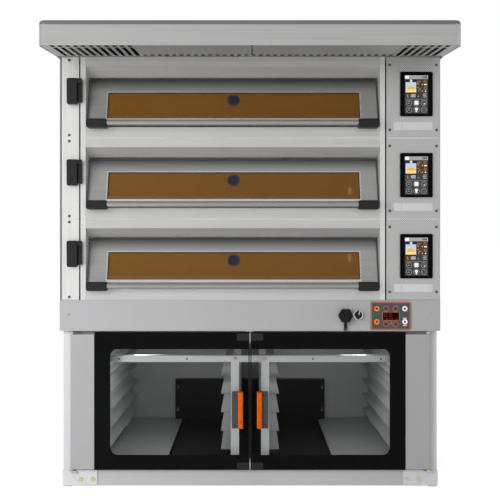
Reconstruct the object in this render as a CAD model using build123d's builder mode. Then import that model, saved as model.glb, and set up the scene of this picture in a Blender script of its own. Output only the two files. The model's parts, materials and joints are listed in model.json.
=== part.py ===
from build123d import *
import os
from math import cos, radians, sin

os.makedirs("parts", exist_ok=True)

# A three-deck electric bakery oven on a glass-doored prover, under a steam hood.
# Millimetres. +Z is up, -Y is the side the baker stands at, +X is to the baker's right.
# The origin is on the floor, in the middle of the object's box.

# ---------------------------------------------------------------- driving dimensions
body_width = 1600
body_depth = 1150
hood_overhang = 305
prover_height = 660
plinth_height = 130
deck_height = 340
deck_names = ("lower", "middle", "upper")

hood_width = 1625
hood_depth = 880
hood_height = 98
hood_drop = 27
collar_radius = 75
collar_height = 60

sheet = 2
thick_sheet = 3
gap = 0.3

# Reference planes worked out from them.
half = body_width / 2
hood_front = -(body_depth + hood_overhang) / 2
front = hood_front + hood_overhang
back = front + body_depth
plinth_top = prover_height + plinth_height
decks_top = plinth_top + deck_height * len(deck_names)
deck_bases = [plinth_top + deck_height * i for i in range(len(deck_names))]

# Deck front, from left to right.
service_left = -791
service_right = -718
frame_left = -712
mouth_left = -690
mouth_right = 546
frame_right = 567
control_left = 573
control_right = 796

# Deck door: it slopes back towards its top edge, where it is hinged.
door_left = -677
door_right = 537
door_slope = 18
door_length = 205
door_thickness = 30
door_skin_offset = 4
pivot_y = front + 72
pivot_height = 252
door_top_margin = 6
window_x = (-604, 466)
window_from_pivot = (54, 177)
bar_radius = 12
bar_y = front - 28
bar_height = 61
grip_length = 87
grip_inset = 8.5
grip_low = 39
grip_high = 77

# Baking chamber.
chamber_left = -670
chamber_right = 530
chamber_front = front + 130
chamber_back = front + 935
chamber_low = 26
chamber_high = 250
stone_low = 46
stone_high = 66
mouth_low = 63
mouth_high = 223
frame_depth = 130

# Steam path: port, gate and flue in the left column.
flue_x = (-786, -724)
flue_y = (front + 130, front + 220)
port_y = (front + 150, front + 200)
port_z = (155, 205)

# Damper lever.
lever_x = (-764, -721.5)
lever_pivot_y = front - 18
lever_pivot_height = 237
lever_tip = 98
lever_pin_radius = 5

# Prover.
prover_front = front + 22
post = 35
post_half = 790
prover_half = 650
base_rail_low = 5
base_rail_high = 73
prover_floor = 75
prover_ceiling = 640
prover_rear = back - 75
stile_outer = 755
stile_inner = 655
stile_low = 78
stile_high = 645
glass_door_low = 74
glass_door_high = 655
glass_thickness = 6
door_pin_x = 748
door_pin_y = prover_front - 11
door_pin_radius = 4
handle_low = 252
handle_high = 404

rack_post_inner = 47
rack_post_outer = 82
rack_front = prover_front + 40
rack_back = prover_rear - 90
rail_low = 521
rail_high = 548
runner_heights = [147 + 79 * i for i in range(5)]
runner_width = 42
runner_lip = 36

# Plinth fittings.
socket_x = 400
socket_z = 725.5
selector_x = 454
selector_z = 728
panel_x = (507, 674)
panel_z = (665, 782)


# ---------------------------------------------------------------- small helpers
def front_plane(y):
    """An upright plane at depth y. Extruding from it comes towards the baker."""
    return Plane.XZ.offset(-y)


def side_plane(x):
    """An upright plane at x. Extruding from it goes to the right."""
    return Plane.YZ.offset(x)


def block(xs, ys, zs, mode=Mode.ADD):
    """A box between two limits on each axis, in the part being built."""
    centre = ((xs[0] + xs[1]) / 2, (ys[0] + ys[1]) / 2, (zs[0] + zs[1]) / 2)
    with Locations(centre):
        Box(abs(xs[1] - xs[0]), abs(ys[1] - ys[0]), abs(zs[1] - zs[0]), mode=mode)


def prism(points, xs, mode=Mode.ADD):
    """A side profile of (y, z) points, extruded between two x limits."""
    with BuildSketch(side_plane(xs[0])) as profile:
        with BuildLine():
            Polyline(*points, close=True)
        make_face()
    extrude(profile.sketch, amount=xs[1] - xs[0], mode=mode)


def rod_x(xs, y, z, radius, mode=Mode.ADD):
    """A round bar along X."""
    with BuildSketch(side_plane(xs[0])) as disc:
        with Locations((y, z)):
            Circle(radius)
    extrude(disc.sketch, amount=xs[1] - xs[0], mode=mode)


def rod_y(x, ys, z, radius, mode=Mode.ADD):
    """A round bar along Y, from the nearer y to the farther one."""
    with BuildSketch(front_plane(ys[1])) as disc:
        with Locations((x, z)):
            Circle(radius)
    extrude(disc.sketch, amount=ys[1] - ys[0], mode=mode)


def rod_z(x, y, zs, radius, mode=Mode.ADD):
    """A round bar along Z."""
    with BuildSketch(Plane.XY.offset(zs[0])) as disc:
        with Locations((x, y)):
            Circle(radius)
    extrude(disc.sketch, amount=zs[1] - zs[0], mode=mode)


def mirrored(side, limits):
    """X limits given for the right side, for the left side (-1) or the right side (+1)."""
    return tuple(sorted(side * value for value in limits))


def finish(piece, name):
    """Label a finished piece and write its STEP file."""
    piece.part.label = name
    export_step(piece.part, f"parts/{name}.step")


# ---------------------------------------------------------------- prover frame
with BuildPart() as prover_posts:
    for x in (-post_half + post / 2, post_half - post / 2):
        for y in (prover_front + post / 2, back - post / 2):
            with BuildSketch(Plane.XY):
                with Locations((x, y)):
                    RectangleRounded(post, post, 3)
            extrude(amount=prover_height)
            with BuildSketch(Plane.XY.offset(5)):
                with Locations((x, y)):
                    Rectangle(post - 2 * sheet, post - 2 * sheet)
            extrude(amount=prover_height, mode=Mode.SUBTRACT)
finish(prover_posts, "prover_posts")

rail_end = post_half - post - gap
rail_z = (base_rail_low, base_rail_high)
bracket_bolt_x = (663, 714)
bracket_bolt_z = 31.5
rail_hollow_z = (base_rail_low + thick_sheet, base_rail_high - thick_sheet)
header_rail_y = (prover_front + 17, prover_front + 34)
header_rail_z = (638, prover_height - gap)
with BuildPart() as base_rails:
    for y in (prover_front + 1, back - 34):
        block((-rail_end, rail_end), (y, y + 33), rail_z)
        block((-post_half, post_half), (y + sheet, y + 33 - sheet), rail_hollow_z, Mode.SUBTRACT)
    for side in (-1, 1):
        side_y = (prover_front + post + gap, back - post - gap)
        block(mirrored(side, (post_half - 34, post_half - 1)), side_y, rail_z)
        hollow_x = mirrored(side, (post_half - 34 + sheet, post_half - 1 - sheet))
        block(hollow_x, (side_y[0] - 0.1, side_y[1] + 0.1), rail_hollow_z, Mode.SUBTRACT)
        for x in bracket_bolt_x:
            rod_y(side * x, (prover_front, prover_front + 20), bracket_bolt_z, 5.2, Mode.SUBTRACT)
    # The header rail closes the front above the doors.
    block((-rail_end, rail_end), header_rail_y, header_rail_z)
    block((-post_half, post_half), (header_rail_y[0] + sheet, header_rail_y[1] - sheet),
          (header_rail_z[0] + sheet, header_rail_z[1] - sheet), Mode.SUBTRACT)
finish(base_rails, "base_rails")

with BuildPart() as corner_brackets:
    for side in (-1, 1):
        with BuildSketch(front_plane(prover_front - gap)):
            with Locations((side * (645 + 792.5) / 2, (8 + 71) / 2)):
                RectangleRounded(792.5 - 645, 71 - 8, 6)
        extrude(amount=thick_sheet)
        block(mirrored(side, (790.2, 792.7)), (prover_front - 2, prover_front + 120), (10, 69))
        shelf_x = mirrored(side, (door_pin_x - 14, door_pin_x + 14))
        block(shelf_x, (prover_front - 21, prover_front - 1), (66, 71))
        rod_z(side * door_pin_x, door_pin_y, (60, 75), door_pin_radius, Mode.SUBTRACT)
        for x in bracket_bolt_x:
            rod_y(side * x, (prover_front - 10, prover_front), bracket_bolt_z, 5.2, Mode.SUBTRACT)
finish(corner_brackets, "corner_brackets")

with BuildPart() as zinc_bolts:
    for side in (-1, 1):
        for x in bracket_bolt_x:
            head_y = prover_front - gap - thick_sheet
            rod_y(side * x, (head_y - 4, head_y), bracket_bolt_z, 9)
            rod_y(side * x, (head_y - 2, head_y + 18), bracket_bolt_z, 5)
        rack_x = side * (rack_post_inner + rack_post_outer) / 2
        rail_z_mid = (rail_low + rail_high) / 2
        rod_y(rack_x, (rack_front - 4, rack_front), rail_z_mid, 8)
finish(zinc_bolts, "zinc_bolts")

with BuildPart() as door_fittings:
    for side in (-1, 1):
        rod_z(side * door_pin_x, door_pin_y, (66, 92), door_pin_radius)
        rod_z(side * door_pin_x, door_pin_y, (631, prover_height - gap), door_pin_radius)
    for z in ((606, prover_height - gap), (base_rail_high + gap, 116)):
        block((-17, 17), (prover_front - 3, prover_front + 16), z)
        block((-2, 2), (prover_front - 12, prover_front - 2), (z[0] + 10, z[1] - 10))
finish(door_fittings, "door_fittings")

# ---------------------------------------------------------------- prover lining and racks
lining_y = (prover_front + post + 4, back - post - gap)
lining_z = (prover_floor, prover_height - 12)
wall_inside = (prover_half, prover_half + sheet)
wall_outside = (post_half - 6, post_half - 6 + sheet)
skin_z = (base_rail_high + gap, prover_height - gap)
with BuildPart() as prover_panels:
    for side in (-1, 1):
        block(mirrored(side, wall_inside), (lining_y[0] + sheet + gap, lining_y[1]), lining_z)
        flange_x = mirrored(side, (wall_inside[0], wall_outside[0] - gap))
        block(flange_x, (lining_y[0], lining_y[0] + sheet), lining_z)
        block(mirrored(side, wall_outside), lining_y, skin_z)
    inner_x = (-prover_half + gap, prover_half - gap)
    block(inner_x, (prover_rear, prover_rear + sheet), lining_z)
    block(inner_x, (lining_y[0], prover_rear - gap), (prover_ceiling, prover_ceiling + sheet))
    block((-rail_end, rail_end), (prover_front + post + 1, back - post - gap),
          (prover_floor - sheet - gap, prover_floor - gap))
    block((-rail_end, rail_end), (back - 5, back - 5 + sheet), skin_z)
finish(prover_panels, "prover_panels")

side_upright_y = [(rack_front, rack_front + 150), (rack_back - 150, rack_back)]
with BuildPart() as rack_frame:
    for side in (-1, 1):
        centre_x = mirrored(side, (rack_post_inner, rack_post_outer))
        for y in (rack_front, rack_back - post):
            block(centre_x, (y, y + post), (prover_floor + gap, rail_high))
            hollow_x = mirrored(side, (rack_post_inner + sheet, rack_post_outer - sheet))
            block(hollow_x, (y + sheet, y + post - sheet), (prover_floor + 6, rail_high - 4), Mode.SUBTRACT)
        for ys in side_upright_y:
            plate_x = mirrored(side, (prover_half - 5, prover_half - 2))
            block(plate_x, ys, (prover_floor + gap, rail_high - 10))
            for z in [height + runner_lip + 4 for height in runner_heights]:
                block(plate_x, (ys[0] + 36, ys[0] + 114), (z, z + 34), Mode.SUBTRACT)
    for y in (rack_front + 1, rack_back - post + 1):
        block((-prover_half + 1, -rack_post_outer - gap), (y, y + 30), (rail_low, rail_high))
        block((-rack_post_inner + gap, rack_post_inner - gap), (y, y + 30), (rail_low, rail_high))
        block((rack_post_outer + gap, prover_half - 1), (y, y + 30), (rail_low, rail_high))
finish(rack_frame, "rack_frame")

runner_y = (rack_front + 4, rack_back - 4)
with BuildPart() as tray_runners:
    for side in (-1, 1):
        for z in runner_heights:
            inner_edge = rack_post_outer + gap
            block(mirrored(side, (inner_edge, inner_edge + runner_width)), runner_y, (z, z + sheet))
            block(mirrored(side, (inner_edge, inner_edge + sheet)), runner_y, (z, z + runner_lip))
            outer_edge = prover_half - 5 - gap
            block(mirrored(side, (outer_edge - runner_width, outer_edge)), runner_y, (z, z + sheet))
            block(mirrored(side, (outer_edge - sheet, outer_edge)), runner_y, (z, z + runner_lip))
finish(tray_runners, "tray_runners")

cover_half = 408
cover_z = (prover_floor + gap, 292)
pan_half = 360
pan_y = (rack_front + 40, prover_rear - 60)
with BuildPart() as prover_humidifier:
    block((-cover_half, cover_half), (prover_rear - 46, prover_rear - 44), cover_z)
    for side in (-1, 1):
        block(mirrored(side, (cover_half - 2, cover_half)), (prover_rear - 46, prover_rear - gap), cover_z)
        for z in (125, 247):
            keyhole_x = side * (cover_half - 14)
            rod_y(keyhole_x, (prover_rear - 50, prover_rear - 40), z, 6, Mode.SUBTRACT)
            block((keyhole_x - 2.5, keyhole_x + 2.5), (prover_rear - 50, prover_rear - 40),
                  (z, z + 16), Mode.SUBTRACT)
    block((-cover_half, cover_half), (prover_rear - 46, prover_rear - gap), (290, 292))
    block((-pan_half, pan_half), pan_y, (prover_floor, prover_floor + 22))
    block((-pan_half + sheet, pan_half - sheet), (pan_y[0] + sheet, pan_y[1] - sheet),
          (prover_floor + sheet, prover_floor + 30), Mode.SUBTRACT)
    for side in (-1, 1):
        slot_x = mirrored(side, (rack_post_inner - 3, rack_post_outer + 3))
        slot_y = (rack_back - post - 3, rack_back + 3)
        block(slot_x, slot_y, (prover_floor - 1, prover_floor + 30), Mode.SUBTRACT)
finish(prover_humidifier, "prover_humidifier")

# ---------------------------------------------------------------- prover doors
for side, name in ((-1, "left"), (1, "right")):
    glass_y = (prover_front - 15, prover_front - 15 + glass_thickness)
    stile_y = (prover_front - 21, prover_front - 1)

    with BuildPart() as door_stile:
        block(mirrored(side, (stile_inner, stile_outer)), stile_y, (stile_low, stile_high))
        fillet(door_stile.edges().filter_by(Axis.Z), 2)
        slot_y = (glass_y[0] - gap, glass_y[1] + gap)
        block(mirrored(side, (stile_inner - 1, stile_inner + 38)), slot_y,
              (stile_low + 10, stile_high - 10), Mode.SUBTRACT)
        for z in ((stile_low - 1, 93), (630, stile_high + 1)):
            rod_z(side * door_pin_x, door_pin_y, z, door_pin_radius + 0.1, Mode.SUBTRACT)
    finish(door_stile, f"{name}_door_stile")

    with BuildPart() as door_glass:
        pane_x = mirrored(side, (3.5, stile_inner - 1))
        with BuildSketch(front_plane(glass_y[1])):
            with Locations(((pane_x[0] + pane_x[1]) / 2, (glass_door_low + glass_door_high) / 2)):
                RectangleRounded(pane_x[1] - pane_x[0], glass_door_high - glass_door_low, 3)
        extrude(amount=glass_thickness)
        block(mirrored(side, (stile_inner - 2, stile_inner + 36)), glass_y, (stile_low + 12, stile_high - 12))
    finish(door_glass, f"{name}_door_glass")

    with BuildPart() as catch_plates:
        for z in (90, 634):
            for y in (glass_y[0] - gap, glass_y[1] + gap + thick_sheet):
                with BuildSketch(front_plane(y)):
                    with Locations((side * 30, z)):
                        RectangleRounded(51, 31, 4)
                extrude(amount=thick_sheet)
    finish(catch_plates, f"{name}_catch_plates")

    handle_mid = (handle_low + handle_high) / 2
    handle_length = handle_high - handle_low
    with BuildPart() as door_handle:
        with BuildSketch(front_plane(glass_y[0] - gap)):
            with Locations((side * 63.7, handle_mid)):
                RectangleRounded(25, handle_length, 2)
        extrude(amount=15)
        fillet(door_handle.edges().group_by(Axis.Y)[0], 2)
        with BuildSketch(front_plane(glass_y[1] + gap + 4)):
            with Locations((side * 53, handle_mid)):
                RectangleRounded(44, handle_length, 4)
        extrude(amount=4)
    finish(door_handle, f"{name}_door_handle")

    with BuildPart() as handle_grip:
        with BuildSketch(front_plane(glass_y[0] - gap)):
            with Locations((side * 40, handle_mid)):
                RectangleRounded(22, handle_length, 2)
        extrude(amount=26)
        fillet(handle_grip.edges().group_by(Axis.Y)[0], 5)
    finish(handle_grip, f"{name}_handle_grip")

# ---------------------------------------------------------------- plinth
wall_z = (prover_height + sheet + gap, plinth_top - sheet - gap)
with BuildPart() as plinth_cabinet:
    block((-half, half), (front, front + thick_sheet), (prover_height, plinth_top - gap))
    inner_y = (front + thick_sheet + gap, back - sheet - gap)
    block((-half, half), inner_y, (prover_height, prover_height + sheet))
    block((-half, half), inner_y, (plinth_top - sheet - gap, plinth_top - gap))
    for side in (-1, 1):
        block(mirrored(side, (half - sheet, half)), inner_y, (wall_z[0] + gap, wall_z[1] - gap))
    block((-half, half), (back - sheet, back), (prover_height, plinth_top - gap))
    rod_y(socket_x, (front - 5, front + 5), socket_z, 20, Mode.SUBTRACT)
    rod_y(selector_x, (front - 5, front + 5), selector_z, 5, Mode.SUBTRACT)
    block((panel_x[0] + 12, panel_x[1] - 12), (front - 5, front + 5),
          (panel_z[0] + 12, panel_z[1] - 12), Mode.SUBTRACT)
finish(plinth_cabinet, "plinth_cabinet")

with BuildPart() as prover_control_panel:
    with BuildSketch(front_plane(front - gap)):
        with Locations((sum(panel_x) / 2, sum(panel_z) / 2)):
            RectangleRounded(panel_x[1] - panel_x[0], panel_z[1] - panel_z[0], 4)
    extrude(amount=5)
    fillet(prover_control_panel.edges().group_by(Axis.Y)[0], 1.2)
    block((panel_x[0] + 14, panel_x[1] - 14), (front - 1, front + 45), (panel_z[0] + 14, panel_z[1] - 14))
finish(prover_control_panel, "prover_control_panel")

with BuildPart() as service_socket:
    rod_y(socket_x, (front - 6, front - gap), socket_z, 26)
    rod_y(socket_x, (front - 10, front + 40), socket_z, 19.5)
    rod_y(socket_x, (front - 12, front + 30), socket_z, 13, Mode.SUBTRACT)
finish(service_socket, "service_socket")

with BuildPart() as socket_strap:
    rod_y(socket_x, (front - 9, front - 6 - gap), socket_z, 24)
    rod_y(socket_x, (front - 12, front), socket_z, 20, Mode.SUBTRACT)
    block((socket_x - 6, socket_x + 6), (front - 9, front - 6 - gap), (670, socket_z - 21))
    block((socket_x - 6, socket_x + 6), (front - 9, front - gap), (662, 671))
finish(socket_strap, "socket_strap")

with BuildPart() as socket_cap:
    with BuildSketch(front_plane(front - 10 - gap)):
        with Locations((socket_x, socket_z)):
            RegularPolygon(32, 6)
        fillet(vertices(Select.ALL), 7)
    extrude(amount=14)
    fillet(socket_cap.edges().group_by(Axis.Y)[0], 3)
    rod_y(socket_x, (front - 34, front - 20), socket_z, 13)
    rod_y(socket_x, (front - 40, front - 31), socket_z, 9, Mode.SUBTRACT)
    rod_y(socket_x, (front - 12, front + 22), socket_z, 12.6)
finish(socket_cap, "socket_cap")

with BuildPart() as selector_bezel:
    rod_y(selector_x, (front - 4, front - gap), selector_z, 21)
    rod_y(selector_x, (front - 10, front + 5), selector_z, 6, Mode.SUBTRACT)
finish(selector_bezel, "selector_bezel")

with BuildPart() as selector_knob:
    rod_y(selector_x, (front - 12, front - 4 - gap), selector_z, 15.5)
    with BuildSketch(front_plane(front - 11)):
        with Locations(Location((selector_x, selector_z), -8)):
            SlotOverall(37, 9, rotation=90)
    extrude(amount=15)
    fillet(selector_knob.edges().group_by(Axis.Y)[0], 1.5)
    rod_y(selector_x, (front - 6, front + 30), selector_z, 4.5)
finish(selector_knob, "selector_knob")

# ---------------------------------------------------------------- deck casings
casing_y = (front + 4, back - sheet - gap)
with BuildPart() as deck_casings:
    for base in deck_bases:
        span_z = (base + gap, base + deck_height - gap)
        for side in (-1, 1):
            block(mirrored(side, (half - thick_sheet, half)), casing_y, span_z)
        block((-half, half), (back - sheet, back), span_z)
        block((frame_left, half - thick_sheet - gap), (front + frame_depth + 2, back - sheet - gap),
              (base + gap, base + gap + sheet))
    block((-half + 4, half - 4), (front + 2, back - sheet - gap), (decks_top + gap, decks_top + gap + sheet))
    block((flue_x[0] - 1, flue_x[1] + 1), (flue_y[0] - 1, flue_y[1] + 1),
          (decks_top - 1, decks_top + 5), Mode.SUBTRACT)
finish(deck_casings, "deck_casings")

# The face that the door shuts against lies behind the door's inner side, at the same slope.
slope = radians(door_slope)
seat = door_thickness - door_skin_offset + 1


def along_seat(distance):
    """A (y, z) point on the sloping door seat, a distance down from the pivot, above the deck base."""
    y = pivot_y + seat * cos(slope) - distance * sin(slope)
    z = pivot_height - seat * sin(slope) - distance * cos(slope)
    return (y, z)


def raised(points, base):
    """Side profile points lifted to a deck's base."""
    return [(y, z + base) for y, z in points]


frame_back = front + frame_depth
lip_top = (front, 302)
lip_end = (front + 57, 266)
with BuildPart() as deck_front_frames:
    for base in deck_bases:
        top = deck_height - gap
        bar_x = (mouth_left, mouth_right)
        hollow_x = (mouth_left + sheet, mouth_right - sheet)
        rail = [(front, top), lip_top, lip_end, (front + 104, lip_end[1]), (front + 104, top)]
        prism(raised(rail, base), bar_x)
        fold = [(front + sheet, top - sheet), (front + sheet, 303), (front + 57.6, 268), (front + 105, 268),
                (front + 105, top - sheet)]
        prism(raised(fold, base), hollow_x, Mode.SUBTRACT)
        header = [(front + 104 + gap, top), (front + 104 + gap, 263), along_seat(-10), along_seat(22),
                  (frame_back, mouth_high), (frame_back, top)]
        prism(raised(header, base), bar_x)
        block(hollow_x, (front + 107, frame_back + 1), (base + mouth_high + sheet, base + top - sheet),
              Mode.SUBTRACT)
        sill = [(front, gap), (front, 47), (along_seat(206)[0] - 1, 47), (along_seat(189)[0], mouth_low),
                (frame_back, mouth_low), (frame_back, gap)]
        prism(raised(sill, base), bar_x)
        sill_z = (base + gap + sheet, base + mouth_low - sheet)
        block(hollow_x, (front + 40, frame_back + 1), sill_z, Mode.SUBTRACT)
        block(hollow_x, (front + sheet, front + 41), (base + gap + sheet, base + 47 - sheet), Mode.SUBTRACT)
        for xs in ((mouth_left, chamber_left), (chamber_right, mouth_right)):
            jamb = [along_seat(22.5), along_seat(188),
                    (frame_back, mouth_low + gap), (frame_back, mouth_high - gap)]
            prism(raised(jamb, base), xs)
        for xs in ((frame_left, mouth_left - gap), (mouth_right + gap, frame_right)):
            block(xs, (front, frame_back), (base + gap, base + top))
            hollow_z = (base + 8, base + top - 8)
            block((xs[0] + 5, xs[1] - 5), (front + 6, frame_back + 1), hollow_z, Mode.SUBTRACT)
            rod_x((xs[0] - 1, xs[1] + 1), pivot_y, base + pivot_height, 5.1, Mode.SUBTRACT)
finish(deck_front_frames, "deck_front_frames")

service_screw_x = -759
service_screw_z = (12.6, deck_height - 12.6)
with BuildPart() as service_panels:
    for base in deck_bases:
        block((service_left, service_right), (front, front + thick_sheet), (base + 1, base + deck_height - 1))
        for z in service_screw_z:
            rod_y(service_screw_x, (front - 5, front + 5), base + z, 3, Mode.SUBTRACT)
finish(service_panels, "service_panels")

control_screw_x = (587, 783)
control_screw_z = (34, 307)
with BuildPart() as control_panels:
    for base in deck_bases:
        block((control_left, control_right), (front, front + thick_sheet), (base + 1, base + deck_height - 1))
        for side_x in ((control_left, control_left + sheet), (control_right - sheet, control_right)):
            block(side_x, (front, front + 18), (base + 1, base + deck_height - 1))
        block((644, 752), (front - 5, front + 5), (base + 100, base + 268), Mode.SUBTRACT)
        for x in control_screw_x:
            for z in control_screw_z:
                rod_y(x, (front - 5, front + 5), base + z, 3, Mode.SUBTRACT)
finish(control_panels, "control_panels")


def panel_screw(x, z):
    """A domed screw on the deck's front face, with its shank."""
    rod_y(x, (front - 2.5, front - 0.1), z, 6)
    rod_y(x, (front - 1, front + 12), z, 2.8)


rivet_x = 761
rivet_z = 727
with BuildPart() as panel_screws:
    for base in deck_bases:
        for z in service_screw_z:
            panel_screw(service_screw_x, base + z)
        for x in control_screw_x:
            for z in control_screw_z:
                panel_screw(x, base + z)
    for side in (-1, 1):
        rod_y(side * rivet_x, (front - 2, front - 0.1), rivet_z, 5)
finish(panel_screws, "panel_screws")

with BuildPart() as touchscreens:
    for base in deck_bases:
        with BuildSketch(front_plane(front - 0.1)):
            with Locations((698, base + 184)):
                RectangleRounded(136, 186, 5)
        extrude(amount=7)
        block((647, 749), (front - 1, front + 30), (base + 103, base + 265))
finish(touchscreens, "touchscreens")

# ---------------------------------------------------------------- baking chambers
stone_split = (chamber_left + chamber_right) / 2
liner_low = chamber_low - sheet
liner_high = chamber_high + sheet
with BuildPart() as chamber_liners:
    for base in deck_bases:
        wide_x = (chamber_left - sheet, chamber_right + sheet)
        deep_y = (chamber_front + gap, chamber_back)
        block(wide_x, deep_y, (base + liner_low, base + chamber_low))
        block(wide_x, deep_y, (base + chamber_high, base + liner_high))
        wall_z = (base + chamber_low + gap, base + chamber_high - gap)
        block((chamber_right, chamber_right + sheet), deep_y, wall_z)
        block((chamber_left - sheet, chamber_left), deep_y, wall_z)
        block((chamber_left - sheet - 1, chamber_left + 1), port_y, (base + port_z[0], base + port_z[1]),
              Mode.SUBTRACT)
        block(wide_x, (chamber_back + gap, chamber_back + gap + sheet), (base + liner_low, base + liner_high))
        ledge_z = (base + stone_low - sheet - gap, base + stone_low - gap)
        for x in (chamber_left + 9, stone_split, chamber_right - 9):
            block((x - 8, x + 8), deep_y, ledge_z)
finish(chamber_liners, "chamber_liners")

with BuildPart() as hearth_stones:
    for base in deck_bases:
        for xs in ((chamber_left + 3, stone_split - 1), (stone_split + 1, chamber_right - 3)):
            block(xs, (chamber_front + 3, chamber_back - 10), (base + stone_low, base + stone_high))
finish(hearth_stones, "hearth_stones")

element_count = 6
element_pitch = (chamber_back - chamber_front - 120) / (element_count - 1)
with BuildPart() as heating_elements:
    for base in deck_bases:
        for i in range(element_count):
            y = chamber_front + 60 + element_pitch * i
            for z in (stone_low - 9, chamber_high - 9):
                rod_x((chamber_left + 4, chamber_right - 4), y, base + z, 4)
    for z in (110, 160):
        rod_x((-320, 320), prover_rear - 22, z, 6)
finish(heating_elements, "heating_elements")

lamp_y = chamber_back - 70
with BuildPart() as chamber_lamps:
    for base in deck_bases:
        with BuildSketch(side_plane(chamber_right - gap)):
            with Locations((lamp_y, base + 175)):
                Circle(26)
        extrude(amount=-12)
        fillet(chamber_lamps.edges().group_by(Axis.X)[0], 5)
finish(chamber_lamps, "chamber_lamps")

wool_y = (chamber_front + 2, chamber_back + 100)
with BuildPart() as insulation:
    for base in deck_bases:
        wool_x = (chamber_left - sheet, chamber_right + sheet)
        block(wool_x, wool_y, (base + liner_high + gap, base + deck_height - 2))
        block(wool_x, wool_y, (base + 3, base + liner_low - gap))
        rear_y = (chamber_back + sheet + 2 * gap, wool_y[1])
        block(wool_x, rear_y, (base + liner_low, base + liner_high))
        side_z = (base + 3, base + deck_height - 2)
        block((chamber_right + sheet + gap, frame_right), wool_y, side_z)
        block((frame_left, chamber_left - sheet - gap), wool_y, side_z)
        block((frame_left - 1, chamber_left), (port_y[0] - 3, port_y[1] + 3),
              (base + port_z[0] - 3, base + port_z[1] + 3), Mode.SUBTRACT)
    prover_wool_x = (wall_inside[1] + gap, post_half - post - 2)
    for side in (-1, 1):
        block(mirrored(side, prover_wool_x), (lining_y[0] + sheet + gap, lining_y[1]), lining_z)
    block(inner_x, (prover_rear + sheet + gap, back - post - gap), lining_z)
    block(inner_x, (lining_y[0], prover_rear - gap), (prover_ceiling + sheet + gap, lining_z[1]))
finish(insulation, "insulation")

# ---------------------------------------------------------------- steam damper
gate_x = (-721, -719)
gate_margin = 8
hood_seat = decks_top + sheet + 2 * gap
with BuildPart() as steam_flue:
    block(flue_x, flue_y, (plinth_top + 10, hood_seat + 20))
    block((flue_x[0] + sheet, flue_x[1] - sheet), (flue_y[0] + sheet, flue_y[1] - sheet),
          (plinth_top + 12, hood_seat + 30), Mode.SUBTRACT)
    for base in deck_bases:
        port_span = (base + port_z[0], base + port_z[1])
        block((flue_x[1] - 5, flue_x[1] + 5), port_y, port_span, Mode.SUBTRACT)
        wide = ((port_y[0] - sheet, port_y[1] + sheet), (port_span[0] - sheet, port_span[1] + sheet))
        block((gate_x[1] + 1, chamber_left - sheet - gap), *wide)
        block((gate_x[1], chamber_left), port_y, port_span, Mode.SUBTRACT)
finish(steam_flue, "steam_flue")

with BuildPart() as lever_brackets:
    for base in deck_bases:
        with BuildSketch(side_plane(-720.5)):
            with Locations((front - 8 - gap, base + 196)):
                RectangleRounded(16, 96, 3)
            with Locations((lever_pivot_y, base + lever_pivot_height)):
                Circle(11)
        extrude(amount=17.5)
        rod_x((-725, -706), lever_pivot_y, base + lever_pivot_height, lever_pin_radius + 0.1, Mode.SUBTRACT)
finish(lever_brackets, "lever_brackets")

for name, base in zip(deck_names, deck_bases):
    with BuildPart() as lever:
        pivot_z = base + lever_pivot_height
        with BuildSketch(side_plane(lever_x[0])):
            with Locations((lever_pivot_y, pivot_z)):
                Circle(12)
            with BuildLine():
                Polyline((lever_pivot_y - 12, pivot_z), (lever_pivot_y + 12, pivot_z),
                         (lever_pivot_y + 8, pivot_z - lever_tip), (lever_pivot_y - 9, pivot_z - lever_tip),
                         close=True)
            make_face()
        extrude(amount=lever_x[1] - lever_x[0])
        with BuildSketch(front_plane(lever_pivot_y + 20)):
            with Locations((sum(lever_x) / 2, pivot_z - 43)):
                RectangleRounded(lever_x[1] - lever_x[0], 112, 8)
        extrude(amount=40, mode=Mode.INTERSECT)
        rod_x((lever_x[1] - 1, -707), lever_pivot_y, pivot_z, lever_pin_radius)
    finish(lever, f"{name}_steam_lever")

    with BuildPart() as gate:
        gate_y = (port_y[0] - gate_margin, port_y[1] + gate_margin)
        gate_z = (base + port_z[0] - gate_margin, base + port_z[1] + gate_margin)
        block(gate_x, gate_y, gate_z)
        rod_y(sum(gate_x) / 2, (front + 74, gate_y[0] + 4), base + sum(port_z) / 2, 2.4)
    finish(gate, f"{name}_steam_gate")

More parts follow.
